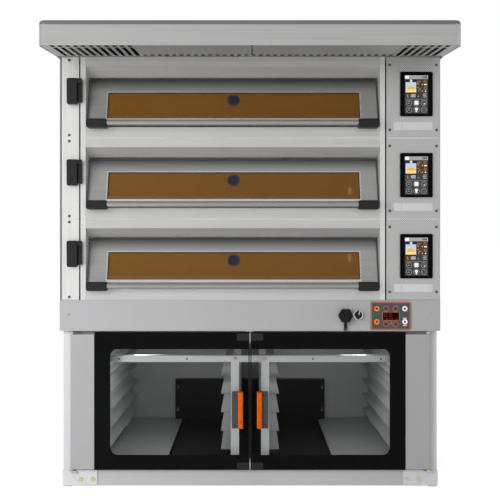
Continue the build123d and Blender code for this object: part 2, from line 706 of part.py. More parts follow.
# ---------------------------------------------------------------- deck doors
window_mid = ((window_x[0] + window_x[1]) / 2, -sum(window_from_pivot) / 2)
window_size = (window_x[1] - window_x[0], window_from_pivot[1] - window_from_pivot[0])
skin = 3
pane = 5
for name, base in zip(deck_names, deck_bases):
    # The door's own plane: local x runs along the hinge, local y runs up the slope.
    pivot_z = base + pivot_height
    outward = (0, -cos(slope), sin(slope))
    door_face = Plane(origin=(0, pivot_y, pivot_z), x_dir=(1, 0, 0), z_dir=outward).offset(door_skin_offset)

    with BuildPart() as door_frame:
        with BuildSketch(door_face):
            with Locations(((door_left + door_right) / 2, (door_top_margin - door_length) / 2)):
                Rectangle(door_right - door_left, door_length + door_top_margin)
            with Locations(window_mid):
                Rectangle(*window_size, mode=Mode.SUBTRACT)
        extrude(amount=-door_thickness)
        with BuildSketch(door_face.offset(-skin)):
            with Locations(window_mid):
                Rectangle(window_size[0] + 24, window_size[1] + 16)
        extrude(amount=2 * skin - door_thickness, mode=Mode.SUBTRACT)
        rod_x((mouth_left - 14, door_left + 1), pivot_y, pivot_z, 5)
        rod_x((door_right - 1, mouth_right + 14), pivot_y, pivot_z, 5)
    finish(door_frame, f"{name}_door_frame")

    with BuildPart() as door_glass:
        for depth in (skin + gap, door_thickness - skin - pane - gap):
            with BuildSketch(door_face.offset(-depth)):
                with Locations(window_mid):
                    Rectangle(window_size[0] + 22, window_size[1] + 14)
            extrude(amount=-pane)
    finish(door_glass, f"{name}_door_glass")

    grip_left = mouth_left + grip_inset
    grip_right = mouth_right - grip_inset
    grip_x = ((grip_left, grip_left + grip_length), (grip_right - grip_length, grip_right))
    with BuildPart() as handle_bar:
        bar_x = (grip_x[0][1] - 38, grip_x[1][0] + 38)
        rod_x(bar_x, bar_y, base + bar_height, bar_radius)
        rod_x((bar_x[0] - 1, bar_x[1] + 1), bar_y, base + bar_height, bar_radius - 2, Mode.SUBTRACT)
    finish(handle_bar, f"{name}_handle_bar")

    with BuildPart() as handle_grips:
        for xs, end in zip(grip_x, (0, 1)):
            with BuildSketch(front_plane(front - 5)):
                with Locations((sum(xs) / 2, base + (grip_low + grip_high) / 2)):
                    RectangleRounded(grip_length, grip_high - grip_low, 9)
            extrude(amount=38)
        fillet(handle_grips.edges().group_by(Axis.Y)[0], 6)
        for xs, side in zip(grip_x, (1, -1)):
            inner_end = xs[1] if side == 1 else xs[0]
            neck_x = sorted((inner_end - side * 70, inner_end - side * 18))
            neck = [(front - 12, 60), (front - 12, 74), (front + 9.4, 74), (front + 5, 60)]
            prism(raised(neck, base), neck_x)
            bore_x = sorted((inner_end - side * 39, inner_end + side))
            rod_x(bore_x, bar_y, base + bar_height, bar_radius + 0.1, Mode.SUBTRACT)
    finish(handle_grips, f"{name}_handle_grips")

# ---------------------------------------------------------------- hood
hood_half = hood_width / 2
hood_back = hood_front + hood_depth
hood_low = decks_top - hood_drop
hood_high = hood_low + hood_height
corner = 28
shell = 2.5


def under_slope(y):
    """Height of the hood's sloping underside, which rises to the deck roof at the deck front."""
    return hood_low + hood_drop * min(1, (y - hood_front) / hood_overhang)


def sloping_sheet(y_near, y_far, rise, thickness):
    """Side profile of a sheet that lies along the hood's underside, a little above it."""
    near = under_slope(y_near) + rise
    far = under_slope(y_far) + rise
    return [(y_near, near), (y_far, far), (y_far, far + thickness), (y_near, near + thickness)]


with BuildPart() as hood_canopy:
    with BuildSketch(Plane.XY.offset(hood_low)):
        with Locations((0, (hood_front + hood_back) / 2)):
            Rectangle(hood_width, hood_depth)
        front_corners = vertices(Select.ALL).group_by(Axis.Y)[0]
        fillet(front_corners, corner)
    extrude(amount=hood_height)
    top_edges = hood_canopy.faces().sort_by(Axis.Z)[-1].edges()
    fillet(top_edges, 9)
    offset(amount=-shell, openings=hood_canopy.faces().sort_by(Axis.Z)[0])
    below = [(hood_front - 1, hood_low - 1), (hood_front - 1, hood_low),
             (front, hood_seat), (hood_back + 1, hood_seat), (hood_back + 1, hood_low - 1)]
    prism(below, (-hood_half - 1, hood_half + 1), Mode.SUBTRACT)
    collar_y = hood_back - 260
    with BuildSketch(Plane.XY.offset(hood_high - shell)):
        with Locations((0, collar_y)):
            Circle(collar_radius)
    extrude(amount=collar_height + shell)
    rod_z(0, collar_y, (hood_high - 20, hood_high + collar_height + 1), collar_radius - sheet, Mode.SUBTRACT)
finish(hood_canopy, "hood_canopy")

slot_pitch = 30
slot_width = 17
slot_count = 52
with BuildPart() as hood_grille:
    prism(sloping_sheet(hood_front + 5, front - 2, 2.4, sheet), (-hood_half + 4, hood_half - 4))
    for side in (-1, 1):
        corner_x = mirrored(side, (hood_half - 22, hood_half))
        block(corner_x, (hood_front, hood_front + 22), (hood_low, hood_high), Mode.SUBTRACT)
    for ys in ((hood_front + 16, hood_front + 62), (hood_front + 74, front - 14)):
        with BuildSketch(Plane.XY.offset(hood_low)):
            with Locations((0, sum(ys) / 2)):
                with GridLocations(slot_pitch, 1, slot_count, 1):
                    Rectangle(slot_width, ys[1] - ys[0])
        extrude(amount=60, mode=Mode.SUBTRACT)
finish(hood_grille, "hood_grille")

baffle_x = ((-455, 5), (10, 590))
baffle_y = (hood_front + 12, front - 72)
with BuildPart() as hood_baffles:
    for xs in baffle_x:
        prism(sloping_sheet(*baffle_y, 0.4, 1.6), xs)
finish(hood_baffles, "hood_baffles")
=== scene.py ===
import json
import math

import bmesh
import bpy
from mathutils import Matrix, Vector


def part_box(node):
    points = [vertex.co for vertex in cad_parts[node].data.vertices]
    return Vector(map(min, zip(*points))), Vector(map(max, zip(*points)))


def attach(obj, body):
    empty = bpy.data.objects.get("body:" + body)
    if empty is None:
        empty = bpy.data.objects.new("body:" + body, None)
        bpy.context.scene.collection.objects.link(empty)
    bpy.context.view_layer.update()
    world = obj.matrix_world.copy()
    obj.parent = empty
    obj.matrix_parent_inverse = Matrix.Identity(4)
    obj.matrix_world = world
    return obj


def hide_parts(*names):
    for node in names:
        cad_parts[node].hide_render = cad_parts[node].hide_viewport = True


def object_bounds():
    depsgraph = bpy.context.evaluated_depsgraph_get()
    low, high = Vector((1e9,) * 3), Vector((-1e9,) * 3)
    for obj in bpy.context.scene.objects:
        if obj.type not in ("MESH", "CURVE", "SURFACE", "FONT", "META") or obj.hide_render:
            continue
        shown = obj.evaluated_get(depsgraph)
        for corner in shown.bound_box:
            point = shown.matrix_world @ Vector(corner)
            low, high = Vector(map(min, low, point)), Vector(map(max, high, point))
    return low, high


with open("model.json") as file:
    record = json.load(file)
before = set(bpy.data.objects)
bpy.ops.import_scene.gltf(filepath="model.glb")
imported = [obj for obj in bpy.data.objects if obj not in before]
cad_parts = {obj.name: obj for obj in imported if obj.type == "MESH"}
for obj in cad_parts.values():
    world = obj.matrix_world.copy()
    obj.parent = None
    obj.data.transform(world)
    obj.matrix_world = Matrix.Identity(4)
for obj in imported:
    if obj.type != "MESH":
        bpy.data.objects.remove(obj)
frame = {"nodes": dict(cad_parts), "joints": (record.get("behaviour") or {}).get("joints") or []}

cad_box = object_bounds()
nodes = frame["nodes"]
scene = bpy.context.scene
MM = 0.001
DECKS = ("lower", "middle", "upper")
ROOT = "oven"


# ------------------------------ where things are
def joint_point(name):
    """A joint's anchor, in metres."""
    return Vector(next(j["pos_m"] for j in frame["joints"] if j["name"] == name))


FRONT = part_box("service_panels")[0].y
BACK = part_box("deck_casings")[1].y
PITCH = 340 * MM
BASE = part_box("service_panels")[0].z - 1 * MM
DECK_BASES = [BASE + PITCH * i for i in range(len(DECKS))]
DOOR_SLOPE = math.radians(18)
DOOR_SKIN = 4 * MM
WINDOW_X = (-604 * MM, 466 * MM)
WINDOW_DOWN = (54 * MM, 177 * MM)


# ------------------------------ material graph helper
class Graph:
    """Short calls for building one material's nodes, in object coordinates."""

    def __init__(self, name):
        self.material = bpy.data.materials.new(name)
        self.material.use_nodes = True
        self.tree = self.material.node_tree
        self.shader = next(n for n in self.tree.nodes if n.type == "BSDF_PRINCIPLED")
        self.output = next(n for n in self.tree.nodes if n.type == "OUTPUT_MATERIAL")
        self.coords = self.tree.nodes.new("ShaderNodeTexCoord")

    def link(self, source, target):
        self.tree.links.new(source, target)

    def put(self, value, target):
        """A socket is linked, a plain value is set."""
        if isinstance(value, bpy.types.NodeSocket):
            self.link(value, target)
        else:
            target.default_value = value

    def node(self, kind, **inputs):
        """A new node, with its named inputs set or linked."""
        made = self.tree.nodes.new("ShaderNode" + kind)
        for name, value in inputs.items():
            self.put(value, made.inputs[name.replace("_", " ")])
        return made

    def noise(self, stretch, detail=3.0, roughness=0.55, shift=0.0):
        if not isinstance(stretch, tuple):
            stretch = (stretch,) * 3
        place = self.coords.outputs["Object"]
        place = self.node("Mapping", Scale=stretch, Location=(shift,) * 3, Vector=place).outputs["Vector"]
        texture = self.node("TexNoise", Scale=1.0, Detail=detail, Roughness=roughness, Vector=place)
        return texture.outputs[0]

    def remap(self, value, low, high, start=0.3, end=0.7):
        made = self.node("MapRange", Value=value, From_Min=start, From_Max=end, To_Min=low, To_Max=high)
        return made.outputs[0]

    def math(self, operation, a, b=0.0):
        node = self.node("Math")
        node.operation = operation
        self.put(a, node.inputs[0])
        self.put(b, node.inputs[1])
        return node.outputs[0]

    def mix(self, factor, a, b):
        """A mix of two colours."""
        node = self.node("Mix")
        node.data_type = "RGBA"
        for socket, value in ((0, factor), (6, a), (7, b)):
            self.put(value, node.inputs[socket])
        return node.outputs[2]

    def blend(self, factor, a, b):
        """A mix of two plain numbers."""
        node = self.node("Mix")
        for socket, value in ((0, factor), (2, a), (3, b)):
            self.put(value, node.inputs[socket])
        return node.outputs[0]

    def spread(self, value):
        """A noise stretched to the full range from 0 to 1."""
        return self.remap(value, 0.0, 1.0)

    def axis(self, which, source="Object"):
        node = self.node("SeparateXYZ")
        self.link(self.coords.outputs[source], node.inputs[0])
        return node.outputs[which]

    def bump(self, height, distance, strength=1.0):
        node = self.node("Bump", Distance=distance, Strength=strength, Height=height)
        self.link(node.outputs["Normal"], self.shader.inputs["Normal"])

    def set(self, **values):
        for name, value in values.items():
            self.put(value, self.shader.inputs[name.replace("_", " ")])


def grey(value, tint=(1.0, 1.0, 1.0)):
    return (value * tint[0], value * tint[1], value * tint[2], 1.0)


def scaled(colour, share):
    """A colour made darker or lighter, fully opaque."""
    return tuple(min(1.0, c * share) for c in colour[:3]) + (1.0,)


# ------------------------------ materials
STEEL_TINT = (1.0, 0.995, 0.98)


def brushed_steel(name, value, rough=(0.38, 0.52), upright=False, band=None, band_value=0.8, shade=None):
    """Brushed sheet. The grain runs level, or upright, or upright only outside a band (centre, half width).
    shade is (period, low height, high height, share left at the top): painted shade, a darker zone that
    repeats upwards."""
    g = Graph(name)
    level = g.noise((5, 5, 1100), 2.0)
    level_streak = g.noise((1.6, 1.6, 90), 3.0, 0.6)
    flat = g.noise((5, 1100, 5), 2.0)
    rise = g.noise((1100, 1100, 5), 2.0)
    rise_streak = g.noise((90, 90, 1.6), 3.0, 0.6)
    top = g.math("GREATER_THAN", g.math("ABSOLUTE", g.axis(2, "Normal")), 0.8)
    grain, streak = (rise, rise_streak) if upright else (level, level_streak)
    colour = g.mix(g.spread(streak), grey(value * 0.93, STEEL_TINT), grey(value * 1.05, STEEL_TINT))
    if band:
        centre, half = band
        off = g.math("ABSOLUTE", g.math("SUBTRACT", g.axis(0), centre))
        outside = g.math("GREATER_THAN", off, half)
        grain = g.blend(outside, grain, rise)
        darker, lighter = grey(band_value * 0.95, STEEL_TINT), grey(band_value * 1.04, STEEL_TINT)
        colour = g.mix(outside, colour, g.mix(g.spread(rise_streak), darker, lighter))
    grain = g.blend(top, grain, flat)
    cloud = g.spread(g.noise(3, 2.0, 0.5, 7.0))
    colour = g.mix(g.math("MULTIPLY", cloud, 0.10), colour, grey(value * 0.72, STEEL_TINT))
    # Painted shade: darker from the low height to the high height within each period.
    if shade:
        period, low, high, left = shade
        height = g.math("FLOORED_MODULO", g.math("SUBTRACT", g.axis(2), BASE), period)
        colour = g.mix(g.remap(height, 0.0, 1.0, low, high), colour, grey(value * left, STEEL_TINT))
    g.set(Base_Color=colour, Metallic=0.7, Roughness=g.remap(grain, *rough))
    g.bump(grain, 0.00006, 0.35)
    return g.material


def dimpled_steel(name, value, pitch):
    """Sheet rolled with a close pattern of small round dimples."""
    g = Graph(name)
    turns = 2 * math.pi / pitch
    across = g.math("SINE", g.math("MULTIPLY", g.axis(0), turns))
    up = g.math("SINE", g.math("MULTIPLY", g.axis(2), turns))
    dimple = g.math("MULTIPLY", across, up)
    dimple = g.math("MULTIPLY_ADD", dimple, 0.5)
    dimple.node.inputs[2].default_value = 0.5
    grain = g.noise(500, 2.0)
    # Painted shade and highlight: the colour follows the dimples, darker where the bump is low and lighter
    # where it is high.
    colour = g.mix(dimple, grey(value * 0.55, STEEL_TINT), grey(value * 1.30, STEEL_TINT))
    g.set(Base_Color=colour, Metallic=0.5, Roughness=g.remap(grain, 0.34, 0.48))
    g.bump(dimple, 0.0005, 0.6)
    return g.material


def painted(name, value, tint=(1.0, 1.002, 1.015), rough=(0.42, 0.55), texture=0.00012):
    """Powder-coated or lacquered sheet with a fine orange-peel surface and faint soiling."""
    g = Graph(name)
    peel = g.noise(420, 2.0)
    cloud = g.noise(2.2, 3.0, 0.5, 3.0)
    colour = g.mix(g.spread(cloud), grey(value * 0.955, tint), grey(value * 1.02, tint))
    g.set(Base_Color=colour, Roughness=g.remap(peel, *rough), Specular_IOR_Level=0.4)
    g.bump(peel, texture, 0.5)
    return g.material


def moulded(name, colour, rough=(0.35, 0.5), level=0.35, grain=700, depth=0.00012):
    """Moulded plastic or rubber with a fine spark-eroded texture."""
    g = Graph(name)
    spark = g.noise(grain, 2.0)
    wear = g.mix(g.spread(g.noise(30, 3.0, 0.6, 5.0)), scaled(colour, 0.86), scaled(colour, 1.10))
    g.set(Base_Color=wear, Roughness=g.remap(spark, *rough), Specular_IOR_Level=level)
    g.bump(spark, depth, 0.5)
    return g.material


def plain_metal(name, colour, rough, scale=240):
    """Plated or cast metal with a faint mottle."""
    g = Graph(name)
    mottle = g.noise(scale)
    patchy = g.mix(g.spread(g.noise(14, 3.0, 0.6, 2.0)), scaled(colour, 0.85), colour)
    g.set(Base_Color=patchy, Metallic=1.0, Roughness=g.remap(mottle, *rough))
    g.bump(mottle, 0.00008, 0.4)
    return g.material


def stone(name):
    """Cast refractory hearth stone with fine aggregate and flour-brown patches."""
    g = Graph(name)
    aggregate = g.noise(260, 4.0, 0.7)
    baked = g.noise(7, 3.0, 0.6, 4.0)
    colour = g.mix(g.spread(aggregate), (0.34, 0.28, 0.21, 1), (0.50, 0.43, 0.33, 1))
    colour = g.mix(g.math("MULTIPLY", g.spread(baked), 0.35), colour, (0.22, 0.15, 0.09, 1))
    g.set(Base_Color=colour, Roughness=g.remap(aggregate, 0.78, 0.95))
    g.bump(aggregate, 0.0006, 0.7)
    return g.material


def wool(name):
    """Mineral wool: tangled straw-coloured fibres."""
    g = Graph(name)
    fibre = g.noise((90, 600, 90), 4.0, 0.7)
    tangle = g.noise((600, 90, 200), 4.0, 0.7, 2.0)
    colour = g.mix(g.spread(fibre), (0.42, 0.34, 0.17, 1), (0.70, 0.60, 0.34, 1))
    g.set(Base_Color=colour, Roughness=g.remap(tangle, 0.85, 1.0))
    g.bump(tangle, 0.0015, 0.8)
    return g.material


def glowing(name, colour, strength=1.0, grain=800):
    """A lit part of a display, or a lamp. Its glow is slightly uneven."""
    g = Graph(name)
    shade = g.mix(g.spread(g.noise(grain, 1.0)), scaled(colour, 0.90), colour)
    g.set(Base_Color=scaled(colour, 0.25), Emission_Color=shade, Roughness=0.45, Specular_IOR_Level=0.15,
          Emission_Strength=strength)
    return g.material


def sheet_glass(name, through, film, film_share):
    """Flat glass: what is behind shows through a tint, with a thin coating that has its own colour."""
    g = Graph(name)
    streak = g.spread(g.noise(3, 2.0, 0.5))
    clear = g.node("BsdfTransparent", Color=g.mix(streak, through, scaled(through, 0.985)))
    g.set(Base_Color=film, Roughness=0.02, Metallic=0.0)
    coat = g.node("MixShader")
    fresnel = g.node("Fresnel", IOR=1.35)
    g.put(g.math("ADD", g.math("MULTIPLY", fresnel.outputs[0], 0.8), film_share), coat.inputs[0])
    g.link(clear.outputs[0], coat.inputs[1])
    g.link(g.shader.outputs[0], coat.inputs[2])
    g.link(coat.outputs[0], g.output.inputs["Surface"])
    return g.material


FRAME_OPENING = (-690 * MM, 546 * MM)
FRAME_BAND = (sum(FRAME_OPENING) / 2, (FRAME_OPENING[1] - FRAME_OPENING[0]) / 2)
# A period taller than the oven, so the hood's painted shade above the fold does not repeat.
TALL = 10.0
HOOD_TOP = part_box("hood_canopy")[1].z - 60 * MM
HOOD_FOLD = HOOD_TOP - 17 * MM
FOLD_RISE = HOOD_FOLD - BASE
# Keys are what CAD_FINISH and piece() name, values are finished materials.
M = {
    # Painted shade: the hood's steel is coloured darker above the fold, over its whole top.
    "hood": brushed_steel("hood_steel", 0.50, shade=(TALL, FOLD_RISE, FOLD_RISE + 0.5 * MM, 0.42)),
    "hood_under": brushed_steel("hood_under_steel", 0.48, (0.44, 0.60), upright=True),
    "frame": brushed_steel("front_frame_steel", 0.61, (0.46, 0.60), band=FRAME_BAND, band_value=0.76),
    "service": brushed_steel("service_panel_steel", 0.78, upright=True),
    "casing": brushed_steel("casing_steel", 0.60),
    # Painted shade: each door's steel turns darker towards its top rail, for the shade under the frame's
    # lip.
    "door": brushed_steel("door_steel", 0.42, (0.30, 0.42), shade=(PITCH, 205 * MM, 256 * MM, 0.16)),
    "bar": brushed_steel("handle_bar_steel", 0.34, (0.24, 0.36)),
    "trim": brushed_steel("trim_steel", 0.72, (0.24, 0.34)),
    "seam": brushed_steel("joint_strip_steel", 0.92, (0.24, 0.34)),
    "dimpled": dimpled_steel("dimpled_panel_steel", 0.52, 8.8 * MM),
    "bright": plain_metal("bright_fittings_steel", (0.66, 0.66, 0.65, 1), (0.2, 0.34)),
    "screw": plain_metal("screw_steel", (0.17, 0.17, 0.17, 1), (0.3, 0.45)),
    "rivet": plain_metal("rivet_steel", (0.62, 0.62, 0.62, 1), (0.25, 0.4)),
    "paint": painted("light_grey_paint", 0.56),
    "rail": painted("rail_paint", 0.42),
    "plinth": painted("plinth_paint", 0.36),
    "stile": painted("stile_paint", 0.34),
    "lining": painted("prover_lining_enamel", 0.27, (1.0, 1.01, 1.02), (0.3, 0.42)),
    "runner": painted("rack_paint", 0.64, rough=(0.3, 0.45)),
    # Painted shade: the same rack paint as above, made darker for the tray runners in the shade inside the
    # prover.
    "tray_runner": painted("tray_runner_paint_shaded", 0.34, rough=(0.3, 0.45)),
    "zinc": plain_metal("yellow_zinc_plate", (0.80, 0.76, 0.38, 1), (0.30, 0.45)),
    "enamel": moulded("black_enamel", (0.008, 0.008, 0.009, 1), (0.35, 0.5), 0.15, 300, 0.0001),
    "grey_plastic": moulded("dark_grey_plastic", (0.050, 0.050, 0.052, 1), (0.38, 0.5), 0.25),
    "orange": moulded("orange_plastic", (0.56, 0.092, 0.0005, 1), (0.34, 0.46), 0.15),
    "black_plastic": moulded("black_plastic", (0.014, 0.014, 0.015, 1), (0.36, 0.5), 0.22),
    "rubber": moulded("black_rubber", (0.010, 0.010, 0.010, 1), (0.55, 0.7), 0.2, 500),
    "gloss": moulded("black_gloss", (0.0012, 0.0012, 0.0016, 1), (0.12, 0.18), 0.05, 60, 0.00001),
    "frit": moulded("black_glass_border", (0.0035, 0.0037, 0.0037, 1), (0.12, 0.18), 0.04, 60, 0.00001),
    "liner": plain_metal("chamber_liner_steel", (0.60, 0.55, 0.47, 1), (0.36, 0.52), 90),
    "stone": stone("hearth_stone"),
    "element": plain_metal("element_sheath_steel", (0.22, 0.20, 0.18, 1), (0.45, 0.6), 300),
    "lamp": glowing("lamp_glass_glow", (1.0, 0.72, 0.36, 1), 1.6, 60),
    "wool": wool("mineral_wool"),
    "bronze": sheet_glass("bronze_door_glass", (0.90, 0.82, 0.68, 1), (0.27, 0.122, 0.020, 1), 0.40),
    "clear": sheet_glass("clear_prover_glass", (0.985, 0.99, 0.985, 1), (0.05, 0.05, 0.05, 1), 0.0),
    "roundel": moulded("roundel_dark_print", (0.016, 0.018, 0.030, 1), (0.3, 0.42), 0.2),
    "badge": painted("blank_badge_print", 0.56, (0.97, 1.0, 1.03), (0.25, 0.35)),
    "panel_face": moulded("panel_face_grey", (0.072, 0.073, 0.076, 1), (0.32, 0.45), 0.2),
    "panel_orange": moulded("panel_orange_print", (0.50, 0.16, 0.045, 1), (0.35, 0.5), 0.15),
    "key_orange": moulded("key_orange_print", (0.80, 0.20, 0.015, 1), (0.3, 0.4), 0.2),
    "key_white": moulded("key_white_print", (0.80, 0.78, 0.75, 1), (0.3, 0.4), 0.2),
    "key_red": moulded("key_dark_red_print", (0.10, 0.006, 0.012, 1), (0.3, 0.4), 0.15),
    "spacer": plain_metal("glass_spacer_steel", (0.85, 0.72, 0.50, 1), (0.35, 0.5), 200),
    "digit_red": glowing("display_dark_red", (0.17, 0.002, 0.003, 1)),
    "ui_back": glowing("display_dark_grey", (0.040, 0.040, 0.038, 1)),
    "ui_grey": glowing("display_mid_grey", (0.32, 0.32, 0.32, 1)),
    "ui_white": glowing("display_white", (0.76, 0.76, 0.76, 1)),
    "ui_orange": glowing("display_orange", (0.50, 0.16, 0.014, 1)),
    "ui_sky": glowing("display_pale_blue", (0.46, 0.54, 0.70, 1)),
    "ui_cream": glowing("display_cream", (0.88, 0.62, 0.33, 1)),
    "ui_loaf": glowing("display_yellow", (0.76, 0.42, 0.04, 1)),
    "ui_black": glowing("display_black", (0.010, 0.010, 0.010, 1)),
}

CAD_FINISH = {
    "prover_posts": "paint", "base_rails": "rail", "corner_brackets": "paint", "zinc_bolts": "zinc",
    "door_fittings": "bright", "prover_panels": "lining", "rack_frame": "runner",
    "tray_runners": "tray_runner", "prover_humidifier": "enamel",
    "plinth_cabinet": "plinth", "prover_control_panel": "panel_face",
    "service_socket": "black_plastic", "socket_strap": "rubber", "selector_bezel": "bright",
    "deck_casings": "casing", "deck_front_frames": "frame", "service_panels": "service",
    "control_panels": "dimpled", "panel_screws": "screw", "touchscreens": "gloss",
    "chamber_liners": "liner", "hearth_stones": "stone", "heating_elements": "element",
    "chamber_lamps": "lamp", "insulation": "wool", "steam_flue": "liner", "lever_brackets": "black_plastic",
    "hood_canopy": "hood", "hood_grille": "hood_under", "hood_baffles": "hood_under",
    "selector_knob": "black_plastic", "socket_cap": "rubber",
}
DECK_FINISH = {
    "door_frame": "door", "door_glass": "bronze", "handle_bar": "bar", "handle_grips": "black_plastic",
    "steam_lever": "black_plastic", "steam_gate": "liner",
}
SIDE_FINISH = {
    "door_stile": "stile", "door_glass": "clear", "catch_plates": "black_plastic",
    "door_handle": "grey_plastic", "handle_grip": "orange",
}
for owners, finishes in ((DECKS, DECK_FINISH), (("left", "right"), SIDE_FINISH)):
    for owner in owners:
        CAD_FINISH.update({f"{owner}_{part}": finish for part, finish in finishes.items()})
for name, node in nodes.items():
    for material_slot in node.material_slots:
        material_slot.material = M[CAD_FINISH[name]]


# ------------------------------ mesh helpers, in metres
def piece(name, body, material, build, bevel=0.0, smooth=False, move=None, replaces=()):
    """A new piece from a function that fills a bmesh, placed by move, on its body and slot."""
    bm = bmesh.new()
    build(bm)
    bmesh.ops.recalc_face_normals(bm, faces=bm.faces)
    mesh = bpy.data.meshes.new(name)
    bm.to_mesh(mesh)
    bm.free()
    if move is not None:
        mesh.transform(move)
    for polygon in mesh.polygons:
        polygon.use_smooth = smooth
    mesh.materials.append(M[material])
    made = bpy.data.objects.new(name, mesh)
    scene.collection.objects.link(made)
    if bevel:
        edge = made.modifiers.new("edge", "BEVEL")
        edge.width = bevel
        edge.segments = 2
        edge.limit_method = "ANGLE"
        edge.angle_limit = math.radians(40)
    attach(made, body)
    if replaces:
        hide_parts(*replaces)
    return made


def plate(bm, outline, near, far):
    """A front-view outline of (x, z) points, made solid between two depths."""
    front = [bm.verts.new((x, near, z)) for x, z in outline]
    rear = [bm.verts.new((x, far, z)) for x, z in outline]
    bm.faces.new(front)
    bm.faces.new(rear[::-1])
    count = len(outline)
    for i in range(count):
        j = (i + 1) % count
        bm.faces.new((front[i], rear[i], rear[j], front[j]))


def ring(bm, outer, inner, near, far):
    """A solid frame between two outlines that have the same number of points."""
    count = len(outer)
    sets = [[bm.verts.new((x, y, z)) for x, z in line] for line in (outer, inner) for y in (near, far)]
    outer_near, outer_far, inner_near, inner_far = sets
    for i in range(count):
        j = (i + 1) % count
        bm.faces.new((outer_near[i], outer_near[j], inner_near[j], inner_near[i]))
        bm.faces.new((outer_far[i], inner_far[i], inner_far[j], outer_far[j]))
        bm.faces.new((outer_near[i], outer_far[i], outer_far[j], outer_near[j]))
        bm.faces.new((inner_near[i], inner_near[j], inner_far[j], inner_far[i]))


def circle(x, z, radius, count=32, turn=0.0):
    angles = [turn + 2 * math.pi * i / count for i in range(count)]
    return [(x + radius * math.cos(angle), z + radius * math.sin(angle)) for angle in angles]


def rounded(x, z, width, height, radius, steps=5):
    """A rounded rectangle's outline about its middle."""
    points = []
    for corner, (sx, sz) in enumerate(((1, 1), (-1, 1), (-1, -1), (1, -1))):
        cx = x + sx * (width / 2 - radius)
        cz = z + sz * (height / 2 - radius)
        for i in range(steps + 1):
            angle = math.pi / 2 * (corner + i / steps)
            points.append((cx + radius * math.cos(angle), cz + radius * math.sin(angle)))
    return points


def box(bm, xs, ys, zs):
    plate(bm, rect(*xs, *zs), *ys)


def turned(bm, x, z, profile, count=32):
    """A part turned about a front-to-back axis, from (radius, y) points that start and end on the axis."""
    rings = []
    for radius, y in profile:
        if radius == 0:
            rings.append([bm.verts.new((x, y, z))])
        else:
            rings.append([bm.verts.new((px, y, pz)) for px, pz in circle(x, z, radius, count)])
    for a, b in zip(rings, rings[1:]):
        for i in range(count):
            j = (i + 1) % count
            corners = [a[i % len(a)], a[j % len(a)], b[j % len(b)], b[i % len(b)]]
            unique = list(dict.fromkeys(corners))
            if len(unique) > 2:
                bm.faces.new(unique)


def head(bm, x, z, face, profile, count=24):
    """A turned head, from (radius, distance behind a face) points in millimetres."""
    turned(bm, x, z, [(radius * MM, face + behind * MM) for radius, behind in profile], count)


def rect(x0, x1, z0, z1):
    return [(x0, z0), (x1, z0), (x1, z1), (x0, z1)]


SEGMENTS = {"0": "abcdef", "1": "bc", "2": "abged", "3": "abgcd", "4": "fgbc", "5": "afgcd", "6": "afgedc",
            "7": "abc", "8": "abcdefg", "9": "abcdfg"}


def digit(bm, figure, x, z, width, height, near, far):
    """A seven-segment figure. x and z are its lower left corner."""
    t = width * 0.24
    half = height / 2
    spans = {
        "a": (x, x + width, z + height - t, z + height),
        "g": (x, x + width, z + half - t / 2, z + half + t / 2), "d": (x, x + width, z, z + t),
        "f": (x, x + t, z + half, z + height), "e": (x, x + t, z, z + half),
        "b": (x + width - t, x + width, z + half, z + height), "c": (x + width - t, x + width, z, z + half),
    }
    for index, key in enumerate(SEGMENTS[figure]):
        x0, x1, z0, z1 = spans[key]
        step = index * 0.004 * MM
        box(bm, (x0, x1), (near - step, far), (z0, z1))


def number(bm, text, x, z, width, height, near, far):
    """Figures side by side in a width."""
    pitch = width / len(text)
    for i, figure in enumerate(text):
        digit(bm, figure, x + pitch * i, z, pitch * 0.72, height, near, far)


# ------------------------------ touchscreens and badges
screen_low, screen_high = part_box("touchscreens")
GLASS_Y = screen_low.y
bezel_bottom = screen_low.z
bezel_top = screen_high.z - PITCH * (len(DECKS) - 1)
LAYER = 0.12 * MM
SUNK = 0.2 * MM
DISPLAY = (screen_low.x + 19 * MM, screen_high.x - 20 * MM, bezel_bottom + 11 * MM, bezel_top - 15 * MM)


def ui(u, v):
    """A point on the display, from fractions across and down it."""
    x0, x1, z0, z1 = DISPLAY
    return (x0 + (x1 - x0) * u, z1 - (z1 - z0) * v)


def ui_box(bm, u0, u1, v0, v1, layer, radius=0.6 * MM):
    (xa, za), (xb, zb) = ui(u0, v0), ui(u1, v1)
    radius = min(radius, (za - zb) / 2.2, (xb - xa) / 2.2)
    outline = rounded((xa + xb) / 2, (za + zb) / 2, xb - xa, za - zb, radius, 3)
    plate(bm, outline, GLASS_Y - layer * LAYER, GLASS_Y + SUNK)


def ui_disc(bm, u, v, radius, layer):
    plate(bm, circle(*ui(u, v), radius, 24), GLASS_Y - layer * LAYER, GLASS_Y + SUNK)


def ui_ring(bm, u, v, radius, width, layer):
    outer, inner = circle(*ui(u, v), radius, 28), circle(*ui(u, v), radius - width, 28)
    ring(bm, outer, inner, GLASS_Y - layer * LAYER, GLASS_Y + SUNK)


def ui_number(bm, text, u0, u1, v0, v1, layer):
    (xa, za), (xb, zb) = ui(u0, v0), ui(u1, v1)
    number(bm, text, xa, zb, xb - xa, za - zb, GLASS_Y - layer * LAYER, GLASS_Y + SUNK)


BUTTONS = [(u, v) for v in (0.72, 0.90) for u in (0.18, 0.50, 0.82)]
BUTTON_RADIUS = 12.2 * MM


def screen_back(bm):
    ui_box(bm, 0, 1, 0, 1, 1, 1.0 * MM)


